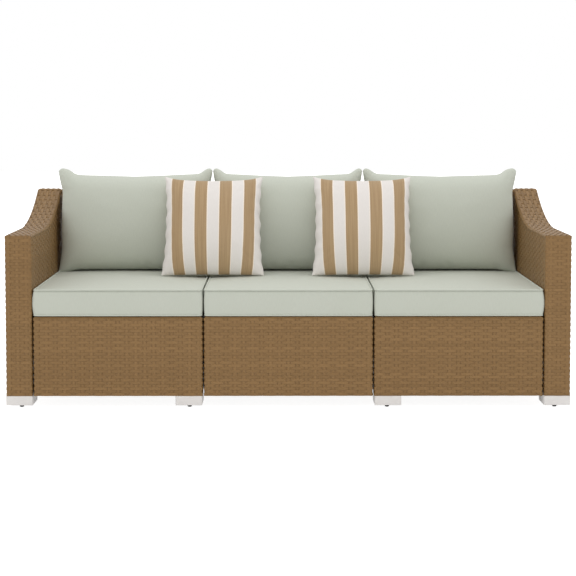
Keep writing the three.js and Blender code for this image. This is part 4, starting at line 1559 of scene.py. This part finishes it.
def apron_stake(lines, mark, x, rows, low, high):
    """From behind the top rail over it, down the front and in under the bottom rail."""
    path = Path()
    for number in reversed(range(APRON_TOP_STRIPS)):
        y = front_y + (EDGE_STRIP_IN + EDGE_STRIP_PITCH * number)
        path.put((x, y, high), (0, 0, 1), over_under(mark, number))
    path.turn_edge(x, front_y, high, -1, 1)
    for z, row in reversed(leg_samples(rows)):
        path.put((x, front_y, z), (0, -1, 0), over_under(mark, row))
    path.turn_edge(x, front_y, low, -1, -1)
    for reach in APRON_TUCK:
        path.put((x, front_y + reach, low), (0, 0, -1), 0.0)
    path.add_to(lines)


for number, side in enumerate(("left", "middle", "right")):
    low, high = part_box(f"{side}_apron_weave")
    x0, x1 = low.x + STRIP_INSET, high.x - STRIP_INSET
    inner_y = high.y
    top, bottom = high.z - STRIP_INSET, low.z + STRIP_INSET
    rows = row_heights(low.z, high.z - ROWS_TOP_GAP, APRON_ROWS)
    stake_xs = np.linspace(low.x + STAKE_PITCH / 2, high.x - STAKE_PITCH / 2, APRON_STAKES)
    side_run = inner_y - front_y
    front_run = [side_run] + [side_run + x - x0 for x in stake_xs] + [side_run + x1 - x0]
    marks = [SIDE_STAKE_IN] + front_run + [2 * side_run + x1 - x0 - SIDE_STAKE_IN]
    weft, stakes = Lines(seed=111 + number), Lines(seed=121 + number)
    for row, z in enumerate(rows):
        corners = [(x0, inner_y), (x0, front_y), (x1, front_y), (x1, inner_y)]
        add_level_row(weft, corners, z, row, marks)
    for index, x in enumerate(stake_xs):
        apron_stake(stakes, index + 1, float(x), rows, bottom, top)
    for end_x, out, mark in ((x0, -1, -1), (x1, 1, APRON_STAKES + 2)):
        add_end_stake(stakes, end_x, inner_y - SIDE_STAKE_IN, out, mark, leg_samples(rows))
    places = places_along(x0, x1)
    add_border(weft, places, front_y, -1, top)
    for strip in range(APRON_TOP_STRIPS):
        y = front_y + (EDGE_STRIP_IN + EDGE_STRIP_PITCH * strip)
        add_top_strip(weft, places, y, top, stake_xs, strip)
    weft.weave(f"{side}_apron_weft", STRIP_WIDTH, WEFT_CRIMP, f"{side}_apron_weave")
    stakes.weave(f"{side}_apron_stakes", STAKE_WIDTH, STAKE_CRIMP, f"{side}_apron_weave")

# %% [markdown]
# ## Weaving the backs
#
# Each back is a slim upright panel woven on both faces, because it is seen from behind. Its rows
# go all round, and its stakes climb the front, cross the top and come down the rear.

# %% Stakes of a back
BACK_STAKES = 19
BACK_TUCK = 0.018
CORNER_STAKE_IN = 0.0060
CORNER_STAKE_WIDTH = 0.62


def back_stake(lines, index, x, panel, legs, across_ys):
    """Up the front, across the top and down the rear, tucked in under the bottom."""
    near, far, bottom, top = panel
    path = Path()
    path.put((x, near + BACK_TUCK, bottom), (0, 0, -1), 0.0)
    path.turn_edge(x, near, bottom, -1, -1)
    for z, row in legs:
        path.put((x, near, z), (0, -1, 0), over_under(index + 1, row))
    path.turn_edge(x, near, top, -1, 1)
    for place, y in enumerate(across_ys):
        path.put((x, float(y), top), (0, 0, 1), over_under(index, place))
    path.turn_edge(x, far, top, 1, 1)
    for z, row in reversed(legs):
        path.put((x, far, z), (0, 1, 0), over_under(2 * BACK_STAKES + 3 - index, row))
    path.turn_edge(x, far, bottom, 1, -1)
    path.put((x, far - BACK_TUCK, bottom), (0, 0, -1), 0.0)
    path.add_to(lines)


def back_side_stakes(lines, x0, x1, near, far, legs):
    """A stake in the middle of each side face, and a narrow one beside each of its edges."""
    for x, out, mark in ((x1, 1, BACK_STAKES + 2), (x0, -1, 2 * BACK_STAKES + 5)):
        add_end_stake(lines, x, (near + far) / 2, out, mark, legs)
    count = len(legs)
    for x, out in ((x1, 1), (x0, -1)):
        for y in (near + CORNER_STAKE_IN, far - CORNER_STAKE_IN):
            points = [(x, y, z) for z, _ in legs]
            lines.add(points, [(out, 0, 0)] * count, [1.0] * count, CORNER_STAKE_WIDTH)


print("a back has", BACK_STAKES, "stakes")

# %% Three backs
BACK_ROWS = 67
BACK_TOP_STRIPS = 4
BACK_TOP_IN = 0.0103
BACK_TOP_WIDTH = 0.95

for number, side in enumerate(("left", "middle", "right")):
    low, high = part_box(f"{side}_back_weave")
    x0, x1 = low.x + STRIP_INSET, high.x - STRIP_INSET
    near, far = low.y + STRIP_INSET, high.y - STRIP_INSET
    top, bottom = high.z - STRIP_INSET, low.z + STRIP_INSET
    rows = row_heights(low.z, high.z - ROWS_TOP_GAP, BACK_ROWS)
    stake_xs = np.linspace(low.x + STAKE_PITCH / 2, high.x - STAKE_PITCH / 2, BACK_STAKES)
    across_ys = np.linspace(low.y + BACK_TOP_IN, high.y - BACK_TOP_IN, BACK_TOP_STRIPS)
    side_run = far - near
    marks = loop_marks((
        (x1 - x0, [x - x0 for x in stake_xs]), (side_run, [side_run / 2]),
        (x1 - x0, [x1 - x for x in reversed(stake_xs)]), (side_run, [side_run / 2]),
    ))
    weft, stakes = Lines(seed=131 + number), Lines(seed=141 + number)
    for row, z in enumerate(rows):
        corners = [(x0, near), (x1, near), (x1, far), (x0, far)]
        add_level_row(weft, corners, z, row, marks, closed=True)
    legs = leg_samples(rows)
    for index, x in enumerate(stake_xs):
        back_stake(stakes, index, x, (near, far, bottom, top), legs, across_ys)
    back_side_stakes(stakes, x0, x1, near, far, legs)
    places = places_along(x0, x1)
    for strip, y in enumerate(across_ys):
        add_top_strip(weft, places, float(y), top, stake_xs, strip, BACK_TOP_WIDTH)
    for edge_y, out in ((near, -1), (far, 1)):
        add_border(weft, places, edge_y, out, top)
    weft.weave(f"{side}_back_weft", STRIP_WIDTH, WEFT_CRIMP, f"{side}_back_weave")
    stakes.weave(f"{side}_back_stakes", STAKE_WIDTH, STAKE_CRIMP, f"{side}_back_weave")

# %% [markdown]
# ## Tubes, decks, feet and bolts
#
# Some solids keep their CAD shape and only need a finish: the powder-coated tubes inside the
# panels, the resin bands that carry the cushions, the silver feet with their black glides, and
# the bolts between the modules. Their patterns read Object coordinates, which are metres in the
# sofa's own frame, so they keep their scale and stay put on every part.

# %% A finish for hard parts
ROUGHNESS_WANDER = 0.06


def speckled(name, low, high, size, stretch, roughness, metallic, depth):
    """A finish whose tone and surface wander with a noise, drawn out along one axis."""
    material = bpy.data.materials.new(name)
    material.use_nodes = True
    tree = material.node_tree
    shader = tree.nodes["Principled BSDF"]
    shader.inputs["Metallic"].default_value = metallic
    place = node(tree, "ShaderNodeTexCoord").outputs["Object"]
    drawn = node(tree, "ShaderNodeMapping", Vector=place, Scale=stretch).outputs[0]
    grain = noise(tree, drawn, size, 3.0)
    patches = noise(tree, place, 14.0, 2.0)
    share = math_node(
        tree, "ADD", math_node(tree, "MULTIPLY", grain, 0.6),
        math_node(tree, "MULTIPLY", patches, 0.4),
    )
    tree.links.new(mix_colour(tree, share, screen(*low), screen(*high)), shader.inputs["Base Color"])
    smoothest, roughest = roughness - ROUGHNESS_WANDER, roughness + ROUGHNESS_WANDER
    tree.links.new(ramp(tree, patches, 0.3, 0.7, smoothest, roughest), shader.inputs["Roughness"])
    bump = node(tree, "ShaderNodeBump", Strength=0.3, Distance=depth, Height=grain)
    tree.links.new(bump.outputs[0], shader.inputs["Normal"])
    return material


print("finish for hard parts ready")

# %% Finishes for the parts that keep their shape
tube_paint = speckled(
    "tube_paint", (84, 66, 46), (102, 82, 60), size=900.0, stretch=(1, 1, 1),
    roughness=0.5, metallic=0.2, depth=0.0002,
)
band_resin = speckled(
    "band_resin", (112, 84, 50), (146, 114, 74), size=260.0, stretch=(1, 1, 0.2),
    roughness=0.6, metallic=0, depth=0.0004,
)
silver = speckled(
    "silver_shell", (214, 210, 207), (233, 230, 227), size=300.0, stretch=(0.1, 0.1, 2),
    roughness=0.4, metallic=0.15, depth=0.0001,
)
rubber = speckled(
    "glide_rubber", (9, 9, 10), (22, 22, 23), size=1200.0, stretch=(1, 1, 1),
    roughness=0.75, metallic=0, depth=0.0002,
)
rubber.node_tree.nodes["Principled BSDF"].inputs["Specular IOR Level"].default_value = 0.12
zinc = speckled(
    "zinc_plate", (150, 151, 154), (186, 187, 190), size=700.0, stretch=(0.2, 1, 1),
    roughness=0.35, metallic=0.9, depth=0.0001,
)

finish_of = (
    ("_frame", tube_paint), ("_deck", band_resin), ("_foot", silver), ("_glide", rubber),
    ("bolt_front", zinc), ("bolt_rear", zinc),
)
unfinished = []
for name, part in nodes.items():
    found = [finish for ending, finish in finish_of if name.endswith(ending)]
    if found:
        for number in range(len(part.material_slots)):
            part.material_slots[number].material = found[0]
    elif not name.endswith(("_weave", "_cover", "_fill", "_foam")):
        unfinished.append(name)
print("still in their plain colour:", unfinished)

# %% [markdown]
# ## Light, floor and background
#
# The product stands in a bright white tent, as it does for a catalogue picture. Nearly all the
# light comes from the white all round, so a colour renders about as it is written, and the sofa
# is darker only where its own parts keep the light out. A weak lamp high in front and another
# overhead give the weave a little relief. The white background is only a colour: the floor and
# the world look white to the camera and in reflections, and the floor keeps its shadow.

# %% World and floor
TENT_LIGHT = 0.92
FLOOR_GLOW = 0.92
FLOOR_REACH = 20
WHITE = (1, 1, 1, 1)


def seen_directly(tree):
    """1 where the camera, a reflection or a see-through surface looks, and 0 for light itself."""
    rays = node(tree, "ShaderNodeLightPath")
    both = math_node(tree, "MAXIMUM", rays.outputs["Is Camera Ray"], rays.outputs["Is Glossy Ray"])
    return math_node(tree, "MAXIMUM", both, rays.outputs["Is Transmission Ray"])


def light_or_look(tree, light, look):
    """One shader for the light that falls on things, and another for what is seen directly."""
    mix = node(
        tree, "ShaderNodeMixShader", _0=seen_directly(tree), _1=light.outputs[0], _2=look.outputs[0]
    )
    return mix.outputs[0]


world = bpy.data.worlds.new("studio")
scene.world = world
world.use_nodes = True
tree = world.node_tree
tree.nodes.clear()
tent = node(tree, "ShaderNodeBackground", Color=WHITE, Strength=TENT_LIGHT)
white_wall = node(tree, "ShaderNodeBackground", Color=WHITE, Strength=1.0)
node(tree, "ShaderNodeOutputWorld", Surface=light_or_look(tree, tent, white_wall))

floor_finish = bpy.data.materials.new("pale_floor")
floor_finish.use_nodes = True
tree = floor_finish.node_tree
tree.nodes.clear()
matt = node(tree, "ShaderNodeBsdfDiffuse", Color=(0.8, 0.8, 0.8, 1))
glow = node(tree, "ShaderNodeEmission", Color=WHITE, Strength=FLOOR_GLOW)
lit = node(tree, "ShaderNodeAddShader", _0=matt.outputs[0], _1=glow.outputs[0])
node(tree, "ShaderNodeOutputMaterial", Surface=light_or_look(tree, matt, lit))
corners = [(x * FLOOR_REACH, y * FLOOR_REACH, 0) for x, y in ((-1, -1), (1, -1), (1, 1), (-1, 1))]
floor = mesh_object("floor", corners, [(0, 1, 2, 3)], floor_finish)
print("floor", tuple(floor.dimensions))


# %% Lamps
def lamp(name, place, aim, size, power):
    data = bpy.data.lights.new(name, "AREA")
    data.shape = "RECTANGLE"
    data.size, data.size_y = size
    data.energy = power
    made = bpy.data.objects.new(name, data)
    made.location = place
    made.rotation_euler = (Vector(aim) - Vector(place)).to_track_quat("-Z", "Y").to_euler()
    scene.collection.objects.link(made)


lamp("front_lamp", (0, -3.8, 3.4), (0, 0, 0.3), size=(1.8, 1.2), power=24)
lamp("top_lamp", (0, 0.7, 3.3), (0, 0, 0.4), size=(3.0, 1.8), power=8.5)
scene.view_settings.view_transform = "Standard"
print("studio ready")
